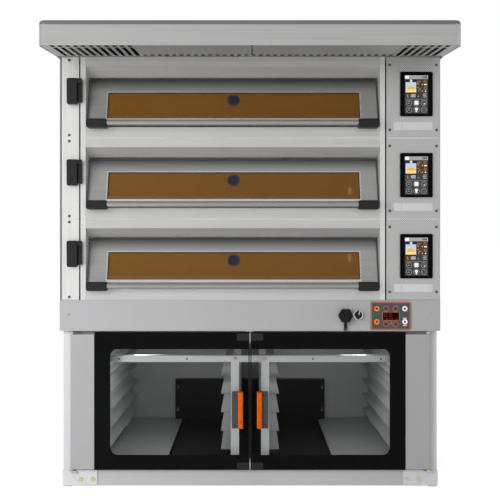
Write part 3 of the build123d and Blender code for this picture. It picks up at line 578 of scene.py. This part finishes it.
def screen_grey(bm):
    ui_box(bm, 0.0, 1.0, 0.0, 0.095, 2)
    ui_box(bm, 0.02, 0.98, 0.622, 0.628, 2)
    for u, v in BUTTONS:
        ui_ring(bm, u, v, BUTTON_RADIUS, 1.6 * MM, 3)
    for u, v in (BUTTONS[0], BUTTONS[3]):
        ui_box(bm, u - 0.06, u + 0.06, v - 0.035, v - 0.022, 4)
        ui_box(bm, u - 0.07, u + 0.05, v + 0.005, v + 0.02, 4)
    for u, v in (BUTTONS[2], BUTTONS[5]):
        ui_ring(bm, u, v, 6.4 * MM, 1.4 * MM, 4)
    ui_box(bm, 0.79, 0.95, 0.475, 0.497, 2)
    ui_box(bm, 0.77, 0.93, 0.515, 0.537, 2)
    ui_box(bm, 0.79, 0.95, 0.555, 0.577, 2)


def screen_black(bm):
    for u, v in BUTTONS:
        ui_disc(bm, u, v, BUTTON_RADIUS - 1.4 * MM, 2)
    ui_box(bm, 0.745, 0.765, 0.02, 0.075, 3)
    ui_box(bm, 0.80, 0.86, 0.025, 0.065, 3)
    ui_box(bm, 0.88, 0.95, 0.025, 0.065, 3)
    ui_box(bm, 0.04, 0.19, 0.12, 0.165, 2)
    ui_box(bm, 0.34, 0.49, 0.12, 0.165, 2)
    ui_box(bm, 0.50, 0.515, 0.11, 0.61, 2)
    ui_box(bm, 0.04, 0.49, 0.452, 0.468, 2)


def screen_white(bm):
    ui_box(bm, 0.01, 0.18, 0.006, 0.09, 3)
    ui_box(bm, 0.83, 0.955, 0.225, 0.256, 2)
    ui_disc(bm, 0.755, 0.238, 1.9 * MM, 2)
    ui_disc(bm, 0.755, 0.412, 1.9 * MM, 2)
    ui_disc(bm, 0.895, 0.415, 3.0 * MM, 2)
    ui_number(bm, "180", 0.22, 0.48, 0.495, 0.572, 2)
    u, v = BUTTONS[1]
    ui_box(bm, u - 0.085, u + 0.085, v - 0.055, v + 0.05, 3, 1.6 * MM)
    u, v = BUTTONS[4]
    ui_disc(bm, u, v - 0.015, 6.6 * MM, 3)
    ui_box(bm, u - 0.035, u + 0.035, v + 0.02, v + 0.055, 3)
    u, v = BUTTONS[2]
    ui_disc(bm, u + 0.03, v + 0.025, 2.6 * MM, 5)


def screen_orange(bm):
    ui_number(bm, "25", 0.81, 0.96, 0.125, 0.205, 2)
    ui_number(bm, "30", 0.81, 0.96, 0.300, 0.378, 2)
    ui_disc(bm, 0.575, 0.225, 3.2 * MM, 2)
    ui_box(bm, 0.535, 0.56, 0.15, 0.235, 2)
    ui_box(bm, 0.60, 0.67, 0.145, 0.175, 2)
    ui_disc(bm, 0.645, 0.360, 3.4 * MM, 2)
    ui_box(bm, 0.545, 0.60, 0.30, 0.328, 2)
    ui_box(bm, 0.575, 0.61, 0.38, 0.425, 2)
    ui_disc(bm, 0.11, 0.515, 3.0 * MM, 2)
    ui_disc(bm, 0.135, 0.575, 2.4 * MM, 2)
    ui_box(bm, 0.10, 0.145, 0.515, 0.585, 2)
    ui_disc(bm, 0.58, 0.555, 3.1 * MM, 2)


def screen_sky(bm):
    ui_box(bm, 0.034, 0.49, 0.18, 0.445, 2)
    ui_box(bm, 0.22, 0.32, 0.108, 0.178, 2)


def screen_cream(bm):
    ui_box(bm, 0.034, 0.49, 0.375, 0.445, 3)
    ui_box(bm, 0.235, 0.305, 0.135, 0.165, 3)


def screen_loaf(bm):
    """The loaf's half-dome."""
    x, z = ui(0.26, 0.378)
    width, height = 15.8 * MM, 16.5 * MM
    angles = [math.pi * i / 16 for i in range(17)]
    arc = [(x + width * math.cos(angle), z + height * math.sin(angle) ** 0.8) for angle in angles]
    plate(bm, arc, GLASS_Y - 4 * LAYER, GLASS_Y + SUNK)


# Left, right, bottom and top of the blank name plate, heights from the deck's base.
BADGE = (603 * MM, 766 * MM, 34 * MM, 68 * MM)


def badge_plate(bm):
    x0, x1, z0, z1 = BADGE
    outline = rounded((x0 + x1) / 2, BASE + (z0 + z1) / 2, x1 - x0, z1 - z0, 3 * MM, 4)
    plate(bm, outline, FRONT - 1.2 * MM, FRONT - 0.05 * MM)


def badge_rule(bm):
    x0, _, z0, z1 = BADGE
    split = x0 + 34 * MM
    heights = (BASE + z0 + 3 * MM, BASE + z1 - 3 * MM)
    box(bm, (split - 0.4 * MM, split + 0.4 * MM), (FRONT - 1.35 * MM, FRONT - 1.1 * MM), heights)


for i, deck in enumerate(DECKS):
    lift = Matrix.Translation((0, 0, PITCH * i))
    for part, material, build in (
        ("screen_back", "ui_back", screen_back), ("screen_grey_marks", "ui_grey", screen_grey),
        ("screen_key_wells", "ui_black", screen_black), ("screen_white_marks", "ui_white", screen_white),
        ("screen_orange_marks", "ui_orange", screen_orange), ("screen_tile_sky", "ui_sky", screen_sky),
        ("screen_tile_base", "ui_cream", screen_cream), ("screen_tile_loaf", "ui_loaf", screen_loaf),
    ):
        piece(f"{deck}_{part}", ROOT, material, build, move=lift)
    piece(f"{deck}_badge_plate", ROOT, "badge", badge_plate, bevel=0.3 * MM, move=lift)
    piece(f"{deck}_badge_rule", ROOT, "screw", badge_rule, move=lift)

# ------------------------------ screws and rivets on the front
SCREW_SPOTS = [(-759 * MM, base + z) for base in DECK_BASES for z in (12.6 * MM, PITCH - 12.6 * MM)]
PANEL_CORNERS = [(x, z) for x in (587 * MM, 783 * MM) for z in (34 * MM, 307 * MM)]
SCREW_SPOTS += [(x, base + z) for base in DECK_BASES for x, z in PANEL_CORNERS]


def panel_screws(bm):
    """Domed heads with a round socket."""
    profile = [(0, 3), (2.8, 3), (2.8, 0), (6, -0.1), (6, -1), (5.2, -1.9), (3.6, -2.4), (2.4, -2.5)]
    profile += [(2, -0.9), (0, -0.9)]
    for x, z in SCREW_SPOTS:
        head(bm, x, z, FRONT, profile)


def rivets(bm):
    profile = [(0, 1), (2.5, 1), (2.5, 0), (5, -0.1), (4.6, -1), (3.2, -1.7), (0, -2)]
    for x in (-761 * MM, 761 * MM):
        head(bm, x, BASE - 63 * MM, FRONT, profile, 20)


piece("panel_screw_heads", ROOT, "screw", panel_screws, replaces=("panel_screws",))
piece("plinth_rivets", ROOT, "rivet", rivets, smooth=True)

# ------------------------------ deck doors


def door_place(deck):
    """From door coordinates (x, out of the door towards -y, up the slope) to the row frame."""
    pivot = joint_point(f"{deck}_door_hinge")
    return Matrix.Translation((0, pivot.y, pivot.z)) @ Matrix.Rotation(-DOOR_SLOPE, 4, "X")


FACE = -DOOR_SKIN
ROUNDEL = (-70 * MM, -90 * MM)


def round_window(sides, bottom, top):
    """An outline round the door's window, larger by these margins, or smaller where they are negative."""
    (x0, x1), (down0, down1) = WINDOW_X, WINDOW_DOWN
    return rect(x0 - sides * MM, x1 + sides * MM, -down1 - bottom * MM, -down0 + top * MM)


def window_trim(bm):
    """A thin pressed lip round the glass, deeper along the bottom."""
    ring(bm, round_window(4, 10, 3), round_window(-0.5, -0.5, -0.5), FACE - 1.2 * MM, FACE + 1.0 * MM)


def window_seal(bm):
    """A dark rubber line where the glass meets the frame."""
    ring(bm, round_window(-0.4, -0.4, -0.4), round_window(-3, -3, -3), FACE + 1.5 * MM, FACE + 3.25 * MM)


def glass_spacer(bm):
    """The bar that holds the two panes apart, taller along the bottom."""
    ring(bm, round_window(8, 4, 4), round_window(-1, -20, -1), FACE + 9 * MM, FACE + 20.5 * MM)


def roundel(bm):
    """A plain round transfer on the outer pane."""
    head(bm, *ROUNDEL, FACE, [(0, 3.6), (26, 3.6), (26, 3), (25.4, 2.8), (0, 2.8)], 48)


def roundel_line(bm):
    """A thin circle inside the disc's edge."""
    outer, inner = circle(*ROUNDEL, 23.5 * MM, 48), circle(*ROUNDEL, 22.4 * MM, 48)
    ring(bm, outer, inner, FACE + 2.65 * MM, FACE + 2.9 * MM)


def glass_shadow_line(bm):
    """A dark strip along the top of the spacer's lower bar: painted shadow in the gap above the bar."""
    low = -WINDOW_DOWN[1] + 20.5 * MM
    xs = (WINDOW_X[0] + 1.5 * MM, WINDOW_X[1] - 1.5 * MM)
    box(bm, xs, (FACE + 9.2 * MM, FACE + 12 * MM), (low, low + 4 * MM))


for deck in DECKS:
    place = door_place(deck)
    body = f"{deck}_door"
    piece(f"{deck}_window_trim", body, "trim", window_trim, bevel=0.5 * MM, move=place)
    piece(f"{deck}_window_seal", body, "rubber", window_seal, move=place)
    piece(f"{deck}_glass_spacer", body, "spacer", glass_spacer, bevel=0.5 * MM, move=place)
    # Painted shadow line above the spacer's lower bar.
    piece(f"{deck}_glass_shadow_line", body, "rubber", glass_shadow_line, move=place)
    piece(f"{deck}_roundel", body, "roundel", roundel, move=place)
    piece(f"{deck}_roundel_line", body, "screw", roundel_line, move=place)

# ------------------------------ prover control panel
panel_low, panel_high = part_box("prover_control_panel")
PANEL_Y = panel_low.y
PANEL_SUNK = PANEL_Y + 0.3 * MM


def on_panel(u, v):
    """A point on the panel, from fractions across and down it."""
    width, height = panel_high.x - panel_low.x, panel_high.z - panel_low.z
    return (panel_low.x + width * u, panel_high.z - height * v)


def panel_ring(bm, u, v, outer, inner, depth):
    x, z = on_panel(u, v)
    ring(bm, circle(x, z, outer * MM), circle(x, z, inner * MM), PANEL_Y - depth * MM, PANEL_SUNK)


def panel_disc(bm, u, v, radius, depth):
    plate(bm, circle(*on_panel(u, v), radius * MM, 24), PANEL_Y - depth * MM, PANEL_SUNK)


def panel_rect(bm, u0, u1, v0, v1, depth, radius=1.0):
    (xa, za), (xb, zb) = on_panel(u0, v0), on_panel(u1, v1)
    outline = rounded((xa + xb) / 2, (za + zb) / 2, xb - xa, za - zb, radius * MM, 4)
    plate(bm, outline, PANEL_Y - depth * MM, PANEL_SUNK)


OUTLINE_KEYS = [(0.383, 0.234), (0.619, 0.234), (0.383, 0.792), (0.619, 0.792)]
PANEL_DISPLAY = (0.297, 0.709, 0.370, 0.656)


def panel_orange_print(bm):
    """The outline, the display's surround and the four thin key rings."""
    width, height = panel_high.x - panel_low.x, panel_high.z - panel_low.z
    x, z = on_panel(0.5, 0.5)
    ring(bm, rounded(x, z, width - 2.6 * MM, height - 2.6 * MM, 3 * MM, 4),
         rounded(x, z, width - 8.8 * MM, height - 8.8 * MM, 1.5 * MM, 4), PANEL_Y - 0.25 * MM, PANEL_SUNK)
    u0, u1, v0, v1 = PANEL_DISPLAY
    (xa, za), (xb, zb) = on_panel(u0, v0), on_panel(u1, v1)
    ring(bm, rounded((xa + xb) / 2, (za + zb) / 2, xb - xa + 3.6 * MM, za - zb + 3.6 * MM, 4 * MM, 4),
         rounded((xa + xb) / 2, (za + zb) / 2, xb - xa - 0.2 * MM, za - zb - 0.2 * MM, 3 * MM, 4),
         PANEL_Y - 0.45 * MM, PANEL_SUNK)
    for u, v in OUTLINE_KEYS:
        panel_ring(bm, u, v, 12.0, 10.3, 0.3)
    for u in (0.383, 0.619):
        panel_rect(bm, u - 0.012, u + 0.012, 0.333, 0.356, 0.28, 0.3)
    panel_rect(bm, 0.458, 0.520, 0.783, 0.801, 0.28, 0.4)
    panel_rect(bm, 0.505, 0.520, 0.676, 0.801, 0.27, 0.4)


def panel_orange_keys(bm):
    for v in (0.240, 0.708):
        panel_ring(bm, 0.147, v, 11.4, 4.4, 0.8)


def panel_white_keys(bm):
    for v in (0.240, 0.708):
        panel_ring(bm, 0.853, v, 11.4, 4.4, 0.8)
    panel_rect(bm, 0.805, 0.900, 0.572, 0.596, 0.3, 0.6)
    panel_rect(bm, 0.805, 0.900, 0.834, 0.858, 0.3, 0.6)


def panel_red_dots(bm):
    for u in (0.147, 0.853):
        for v in (0.240, 0.708):
            panel_disc(bm, u, v, 4.4, 0.5)
    for u, v in OUTLINE_KEYS:
        panel_disc(bm, u, v, 4.2, 0.3)


def panel_window(bm):
    panel_rect(bm, *PANEL_DISPLAY, 0.3, 2.6)


def panel_figures(bm):
    (xa, za), (xb, zb) = on_panel(0.312, 0.395), on_panel(0.545, 0.530)
    number(bm, "3275", xa, zb, xb - xa, za - zb, PANEL_Y - 0.4 * MM, PANEL_Y)
    (xa, za), (xb, zb) = on_panel(0.318, 0.580), on_panel(0.700, 0.635)
    number(bm, "101010", xa, zb, xb - xa, za - zb, PANEL_Y - 0.4 * MM, PANEL_Y)


for name, material, build in (
    ("panel_orange_print", "panel_orange", panel_orange_print),
    ("panel_orange_keys", "key_orange", panel_orange_keys),
    ("panel_white_keys", "key_white", panel_white_keys), ("panel_key_centres", "key_red", panel_red_dots),
    ("panel_window", "gloss", panel_window), ("panel_figures", "digit_red", panel_figures),
):
    piece(name, ROOT, material, build)

# ------------------------------ selector and socket cap
knob_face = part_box("selector_knob")[0].y
knob = joint_point("selector_turn")
cap = joint_point("socket_cap_turn")
POINTER_TURN = 8


def knob_pointer(bm):
    """White line from the middle of the knob to its tip."""
    plate(bm, rounded(0, 9 * MM, 2.2 * MM, 15 * MM, 1 * MM, 3), knob_face - 0.2 * MM, knob_face + 0.5 * MM)


tilt = Matrix.Translation((knob.x, 0, knob.z)) @ Matrix.Rotation(math.radians(POINTER_TURN), 4, "Y")
piece("selector_pointer", "selector", "key_white", knob_pointer, move=tilt)


def bezel_marks(bm):
    """Two plain tick marks on the selector's ring."""
    bezel_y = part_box("selector_bezel")[0].y
    for angle in (POINTER_TURN, POINTER_TURN + 90):
        turn = math.radians(90 - angle)
        x, z = knob.x + 19.2 * MM * math.cos(turn), knob.z + 19.2 * MM * math.sin(turn)
        plate(bm, circle(x, z, 1.1 * MM, 12), bezel_y - 0.15 * MM, bezel_y + 0.3 * MM)


piece("selector_ticks", ROOT, "black_plastic", bezel_marks)


cap_face_y = FRONT - 24.3 * MM


def cap_ring(bm):
    """A moulded ring on the cap's face, outside the strap's loop."""
    outer, inner = circle(cap.x, cap.z, 24 * MM, 40), circle(cap.x, cap.z, 21.5 * MM, 40)
    ring(bm, outer, inner, cap_face_y - 0.8 * MM, cap_face_y + 0.5 * MM)


piece("socket_cap_ring", "socket_cover", "rubber", cap_ring, bevel=0.4 * MM)


def strap_loop(bm):
    """The strap's own loop round the cap's boss, and its run over the cap's lower edge."""
    near, far = cap_face_y - 2.4 * MM, cap_face_y - 0.3 * MM
    cap_low, cap_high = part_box("socket_cap")
    corner_radius = max(cap_high.x - cap_low.x, cap_high.z - cap_low.z) / 2
    edge = cap.z - corner_radius - 0.9 * MM
    sides = (cap.x - 5.5 * MM, cap.x + 5.5 * MM)
    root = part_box("socket_strap")[1].y - 1.5 * MM
    ring(bm, circle(cap.x, cap.z, 19.5 * MM, 40), circle(cap.x, cap.z, 14 * MM, 40), near, far)
    box(bm, sides, (near, far), (edge - 3.5 * MM, cap.z - 18.5 * MM))
    box(bm, sides, (far - 0.2 * MM, root), (edge - 3.5 * MM, edge))


piece("strap_loop", ROOT, "rubber", strap_loop, bevel=0.5 * MM)


def strap_rivet(bm):
    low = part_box("socket_strap")[0]
    head(bm, cap.x, low.z + 5 * MM, low.y, [(0, 0.4), (3.2, 0.4), (3.2, -0.3), (2.4, -1), (0, -1.3)], 18)


piece("strap_rivet", ROOT, "screw", strap_rivet, smooth=True)

# ------------------------------ prover doors
for side, sign in (("left", -1), ("right", 1)):
    glass_low, glass_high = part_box(f"{side}_door_glass")
    handle_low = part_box(f"{side}_handle_grip")[0]
    body = f"{side}_prover_door"
    pane_y = glass_low.y

    def border(bm, sign=sign, pane_y=pane_y, low=glass_low, high=glass_high):
        """The black printed border: a C shape, open at the meeting edge, with rounded inner corners."""
        inner = 4.0 * MM
        outer = 654.6 * MM
        window = 588 * MM
        z0, z1 = low.z + 0.5 * MM, high.z - 0.5 * MM
        w0, w1 = 138 * MM, 583 * MM
        radius = 31 * MM
        line = [(inner, z0), (outer, z0), (outer, z1), (inner, z1), (inner, w1)]
        for start, middle in ((1, w1 - radius), (0, w0 + radius)):
            for i in range(9):
                angle = math.pi / 2 * (start - i / 8)
                line.append((window - radius + radius * math.cos(angle), middle + radius * math.sin(angle)))
        line.append((inner, w0))
        plate(bm, [(sign * x, z) for x, z in line], pane_y - 0.25 * MM, pane_y + 0.2 * MM)

    piece(f"{side}_glass_border", body, "frit", border)

    def catch_screws(bm, sign=sign, pane_y=pane_y):
        profile = [(0, -3), (3.4, -3), (3.4, -3.9), (2.4, -4.6), (1.5, -4.7), (1.3, -4), (0, -4)]
        for z in (90 * MM, 634 * MM):
            for x in (24 * MM, 45 * MM):
                head(bm, sign * x, z, pane_y, profile, 18)

    piece(f"{side}_catch_screws", body, "black_plastic", catch_screws)

    def grip_marks(bm, sign=sign, low=handle_low):
        for z in (280 * MM, 372 * MM):
            outline = rounded(sign * 40 * MM, z, 9 * MM, 3 * MM, 1.4 * MM, 4)
            plate(bm, outline, low.y - 0.25 * MM, low.y + 0.6 * MM)

    piece(f"{side}_grip_marks", body, "grey_plastic", grip_marks)

    def handle_screws(bm, sign=sign, side=side):
        low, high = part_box(f"{side}_door_handle")
        profile = [(0, 0.6), (4, 0.6), (4, -0.4), (3.4, -0.8), (1.8, -0.9), (1.6, 0), (0, 0)]
        for z in (low.z + 14 * MM, high.z - 14 * MM):
            head(bm, sign * 63.7 * MM, z, low.y, profile, 20)

    piece(f"{side}_handle_screws", body, "black_plastic", handle_screws)

# ------------------------------ hex bolts on the prover
RACK_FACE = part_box("rack_frame")[0].y
RACK_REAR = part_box("rack_frame")[1].y
RAIL_Z = 534 * MM


def hex_bolts(bm):
    """Flanged hexagon heads on short shanks."""
    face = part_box("zinc_bolts")[0].y + 4 * MM
    z = 31.5 * MM
    for x in (-663 * MM, -714 * MM, 663 * MM, 714 * MM):
        head(bm, x, z, face, [(0, 0.2), (9, 0.1), (9, -1.2), (7.4, -1.5), (0, -1.5)], 28)
        plate(bm, circle(x, z, 7.4 * MM, 6, 0.3), face - 4.6 * MM, face - 1.4 * MM)
        plate(bm, circle(x, z, 5 * MM, 16), face, face + 16 * MM)


def rack_bolts(bm):
    """Domed bolts that hold the middle posts to the front rail."""
    for x in (-64.5 * MM, 64.5 * MM):
        head(bm, x, 534.5 * MM, RACK_FACE, [(0, 0), (8, 0), (8, -1), (7, -2.4), (4.5, -3.6), (0, -4)])


piece("bracket_bolts", ROOT, "zinc", hex_bolts, bevel=0.5 * MM, replaces=("zinc_bolts",))
piece("rack_bolts", ROOT, "zinc", rack_bolts, smooth=True)


# ------------------------------ small parts of the prover's front
STILE_LOW, STILE_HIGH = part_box("left_door_stile")
POST_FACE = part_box("prover_posts")[0].y


def pivot_caps(bm):
    """Domed caps of the door pins, on short tabs at the stiles' ends."""
    profile = [(0, 6), (7.5, 6), (7.5, -0.5), (6.6, -1.6), (4, -2.4), (0, -2.6)]
    for x in (-748 * MM, 748 * MM):
        for z in (STILE_HIGH.z + 7 * MM, STILE_LOW.z - 7.5 * MM):
            head(bm, x, z, STILE_LOW.y, profile)


piece("pivot_caps", ROOT, "rivet", pivot_caps, smooth=True)


def foot_gussets(bm):
    """The posts' feet: a plate with a slanted inner edge over each corner bracket."""
    for sign in (-1, 1):
        outline = [(792, 6), (692, 6), (714, 9), (749, 48), (749, 66), (792, 66)]
        plate(bm, [(sign * x * MM, z * MM) for x, z in outline], POST_FACE - 4.4 * MM, POST_FACE - 3.4 * MM)


piece("foot_gussets", ROOT, "paint", foot_gussets, bevel=0.4 * MM)

for side, sign in (("left", -1), ("right", 1)):
    def edge_seal(bm, sign=sign, side=side):
        """Black profile over the pane's meeting edge."""
        low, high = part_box(f"{side}_door_glass")
        x0, x1 = sorted((sign * 2.0 * MM, sign * 6.0 * MM))
        box(bm, (x0, x1), (low.y - 0.9 * MM, high.y + 0.9 * MM), (low.z, high.z))

    piece(f"{side}_edge_seal", f"{side}_prover_door", "rubber", edge_seal, bevel=0.4 * MM)


def rack_rail_screws(bm):
    """Screws along the rack's cross rails."""
    front = [(0, 2), (4.2, 2), (4.2, 0.4), (3, -0.6), (0, -0.8)]
    rear = [(0, 2), (4.2, 2), (4.2, -0.2), (3, -1.2), (0, -1.4)]
    for sign in (-1, 1):
        for x in (270 * MM, 560 * MM):
            head(bm, sign * x, RAIL_Z, RACK_FACE, front, 16)
            head(bm, sign * (x - 40 * MM), RAIL_Z, RACK_REAR - 34 * MM, rear, 16)


piece("rack_rail_screws", ROOT, "screw", rack_rail_screws, smooth=True)


def upright_slots(bm):
    """Hanging slots punched down the side uprights, drawn as thin black inlays: their black is painted shade
    inside each opening.
    """
    inner = 645 * MM
    runner_pitch = 79 * MM
    for sign in (-1, 1):
        xs = sorted((sign * (inner - 0.25 * MM), sign * (inner + 0.3 * MM)))
        for y in (RACK_FACE + 12 * MM, RACK_FACE + 134 * MM, RACK_REAR - 138 * MM, RACK_REAR - 16 * MM):
            for level in range(5):
                z = 197 * MM + runner_pitch * level
                for bottom, top in ((0, 18), (-30, -25)):
                    box(bm, xs, (y - 2.5 * MM, y + 2.5 * MM), (z + bottom * MM, z + top * MM))


piece("upright_slots", ROOT, "enamel", upright_slots)

# ------------------------------ strips between the decks, casing screws, rear vents
CASING_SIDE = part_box("deck_casings")[1].x


def deck_joints(bm):
    """A thin bright strip along each line where one deck stands on the next."""
    for base in DECK_BASES[1:]:
        for xs in ((-791 * MM, -718.5 * MM), (-711 * MM, 566 * MM), (573.5 * MM, 795.5 * MM)):
            box(bm, xs, (FRONT - 0.7 * MM, FRONT + 1.5 * MM), (base - 0.9 * MM, base + 0.9 * MM))


piece("deck_joint_strips", ROOT, "seam", deck_joints)


def domed(bm, centre, axis, radius, height):
    """A low domed head on a side (axis "x") or the back ("y"), pointing out along the axis's sign."""
    which, sign = axis
    count = 16
    rings = []
    for width, rise in ((1, None), (1, 0.35), (0.72, 0.8), (0.3, 1)):
        r = radius * width
        out_by = -0.6 * MM if rise is None else height * rise
        line = []
        for i in range(count):
            a, b = r * math.cos(2 * math.pi * i / count), r * math.sin(2 * math.pi * i / count)
            offset = (sign * out_by, a, b) if which == "x" else (a, sign * out_by, b)
            line.append(bm.verts.new(Vector(centre) + Vector(offset)))
        rings.append(line)
    bm.faces.new(rings[0])
    bm.faces.new(rings[-1])
    for a, b in zip(rings, rings[1:]):
        for i in range(count):
            j = (i + 1) % count
            bm.faces.new((a[i], a[j], b[j], b[i]))


def casing_screws(bm):
    """Heads on both sides: six for each deck and two on the plinth."""
    for sign in (-1, 1):
        x = sign * CASING_SIDE
        for base in DECK_BASES:
            for y in (FRONT + 40 * MM, 0.15, BACK - 40 * MM):
                for z in (base + 18 * MM, base + PITCH - 18 * MM):
                    domed(bm, (x, y, z), ("x", sign), 6 * MM, 2.2 * MM)
        for y in (FRONT + 40 * MM, BACK - 40 * MM):
            domed(bm, (x, y, BASE - 65 * MM), ("x", sign), 6 * MM, 2.2 * MM)


piece("casing_screws", ROOT, "rivet", casing_screws, smooth=True)


def rear_screws(bm):
    """Heads round each rear sheet and along the prover's."""
    for base in DECK_BASES:
        for x in (-770, -385, 0, 385, 770):
            for z in (base + 18 * MM, base + PITCH - 18 * MM):
                domed(bm, (x * MM, BACK, z), ("y", 1), 5 * MM, 0.4 * MM)
    for x in (-740, -370, 0, 370, 740):
        for z in (100, 630):
            domed(bm, (x * MM, BACK - 3 * MM, z * MM), ("y", 1), 5 * MM, 1.6 * MM)


piece("rear_screws", ROOT, "rivet", rear_screws, smooth=True)


def rear_vents(bm):
    """Cooling slots behind each control panel, and the same on the other side, drawn as thin black plates:
    painted shade inside each slot.
    """
    for base in DECK_BASES:
        for i in range(9):
            z = base + (90 + 18 * i) * MM
            for centre in (640 * MM, -640 * MM):
                outline = rounded(centre, z, 110 * MM, 6 * MM, 2.8 * MM, 4)
                plate(bm, outline, BACK - 0.6 * MM, BACK + 0.25 * MM)


piece("rear_vent_slots", ROOT, "enamel", rear_vents)


def hood_fold(bm):
    """The fold along the top of the hood's fascia, drawn as a thin strip of dark metal: painted shade along
    the bend.
    """
    low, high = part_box("hood_canopy")
    heights = (HOOD_FOLD - 0.8 * MM, HOOD_FOLD + 0.8 * MM)
    box(bm, (low.x + 29 * MM, high.x - 29 * MM), (low.y - 0.35 * MM, low.y + 0.6 * MM), heights)


piece("hood_fold_line", ROOT, "screw", hood_fold)


# ------------------------------ camera, light, floor
def light(name, kind, spot, energy):
    """A lamp that lights matt surfaces. The camera, steel and glass don't see it."""
    data = bpy.data.lights.new(name, kind)
    data.energy = energy
    made = bpy.data.objects.new(name, data)
    scene.collection.objects.link(made)
    made.location = spot
    made.visible_camera = False
    made.visible_glossy = False
    return made


def area_light(name, spot, target, size, energy):
    made = light(name, "AREA", spot, energy)
    made.data.shape = "DISK"
    made.data.size = size
    made.rotation_euler = (Vector(target) - Vector(spot)).to_track_quat("-Z", "Y").to_euler()


area_light("key_light", (-2.6, -3.0, 1.7), (-0.2, 0, 0.8), 1.8, 95)
for side, x in (("left", -0.36), ("right", 0.36)):
    area_light(f"prover_light_{side}", (x, POST_FACE + 0.10, 0.60), (x * 1.3, 0.45, 0.2), 0.3, 3.2)
for deck, base in zip(DECKS, DECK_BASES):
    for side, x, energy in (("right", 0.32, 3.4), ("left", -0.32, 1.2)):
        glow = light(f"{deck}_chamber_glow_{side}", "POINT", (x, 0.16, base + 0.15), energy)
        glow.data.color = (1.0, 0.68, 0.34)
        glow.data.shadow_soft_size = 0.09


def direction_ramp(tree, source, stops, blue=1.0):
    """Grey levels along one axis of a direction, from stops of (place, level). blue tints them."""
    span = tree.nodes.new("ShaderNodeMapRange")
    span.inputs["From Min"].default_value = -1.0
    span.inputs["From Max"].default_value = 1.0
    tree.links.new(source, span.inputs["Value"])
    ramp = tree.nodes.new("ShaderNodeValToRGB")
    tree.links.new(span.outputs[0], ramp.inputs[0])
    for position, level in stops[1:-1]:
        ramp.color_ramp.elements.new(position)
    for element, (position, level) in zip(ramp.color_ramp.elements, stops):
        element.position = position
        element.color = (level, level, level * blue, 1)
    return ramp.outputs[0]


UP_STOPS = [(0.0, 0.80), (0.47, 0.88), (0.58, 0.84), (0.72, 0.66), (0.85, 0.52), (1.0, 0.42)]
ACROSS_STOPS = [(0.0, 0.55), (0.10, 0.80), (0.22, 1.06), (0.5, 1.0), (0.78, 0.92), (0.9, 1.0), (1.0, 1.5)]

world = bpy.data.worlds.new("studio")
scene.world = world
world.use_nodes = True
tree = world.node_tree
tree.nodes.clear()
out = tree.nodes.new("ShaderNodeOutputWorld")
coords = tree.nodes.new("ShaderNodeTexCoord")
parts = tree.nodes.new("ShaderNodeSeparateXYZ")
tree.links.new(coords.outputs["Generated"], parts.inputs[0])
lit = tree.nodes.new("ShaderNodeBackground")
tree.links.new(direction_ramp(tree, parts.outputs[2], UP_STOPS, 1.01), lit.inputs["Color"])
tree.links.new(direction_ramp(tree, parts.outputs[0], ACROSS_STOPS), lit.inputs["Strength"])
plain = tree.nodes.new("ShaderNodeBackground")
plain.inputs["Color"].default_value = (1, 1, 1, 1)
path = tree.nodes.new("ShaderNodeLightPath")
pick = tree.nodes.new("ShaderNodeMixShader")
tree.links.new(path.outputs["Is Camera Ray"], pick.inputs[0])
tree.links.new(lit.outputs[0], pick.inputs[1])
tree.links.new(plain.outputs[0], pick.inputs[2])
tree.links.new(pick.outputs[0], out.inputs["Surface"])

FLOOR_HALF = 400
g = Graph("studio_floor")
g.set(Base_Color=g.mix(g.spread(g.noise(6, 2.0)), grey(0.80), grey(0.84)), Roughness=0.8,
      Emission_Color=(1, 1, 1, 1), Emission_Strength=0.22)
brighter = g.node("AddShader")
g.link(g.shader.outputs[0], brighter.inputs[0])
g.link(g.node("Emission", Strength=0.42).outputs[0], brighter.inputs[1])
floor_pick = g.node("MixShader")
g.link(g.node("LightPath").outputs["Is Camera Ray"], floor_pick.inputs[0])
g.link(g.shader.outputs[0], floor_pick.inputs[1])
g.link(brighter.outputs[0], floor_pick.inputs[2])
g.link(floor_pick.outputs[0], g.output.inputs["Surface"])
floor_bm = bmesh.new()
bmesh.ops.create_grid(floor_bm, x_segments=2, y_segments=2, size=FLOOR_HALF)
floor_mesh = bpy.data.meshes.new("studio_floor")
floor_bm.to_mesh(floor_mesh)
floor_bm.free()
floor_mesh.materials.append(g.material)
floor = bpy.data.objects.new("studio_floor", floor_mesh)
scene.collection.objects.link(floor)
floor.location.z = cad_box[0][2] - 0.001

EYE_AWAY = 3.4
EYE_HEIGHT = 1.0
VIEW_WIDTH = 2.1
camera_data = bpy.data.cameras.new("camera")
camera_data.sensor_width = 36
camera_data.lens = camera_data.sensor_width * EYE_AWAY / VIEW_WIDTH
camera_data.clip_end = 1000
camera = bpy.data.objects.new("camera", camera_data)
scene.collection.objects.link(camera)
camera.location = (0.0, FRONT - EYE_AWAY, EYE_HEIGHT)
camera.rotation_euler = (math.radians(90), 0, 0)
scene.camera = camera
scene.view_settings.view_transform = "Standard"
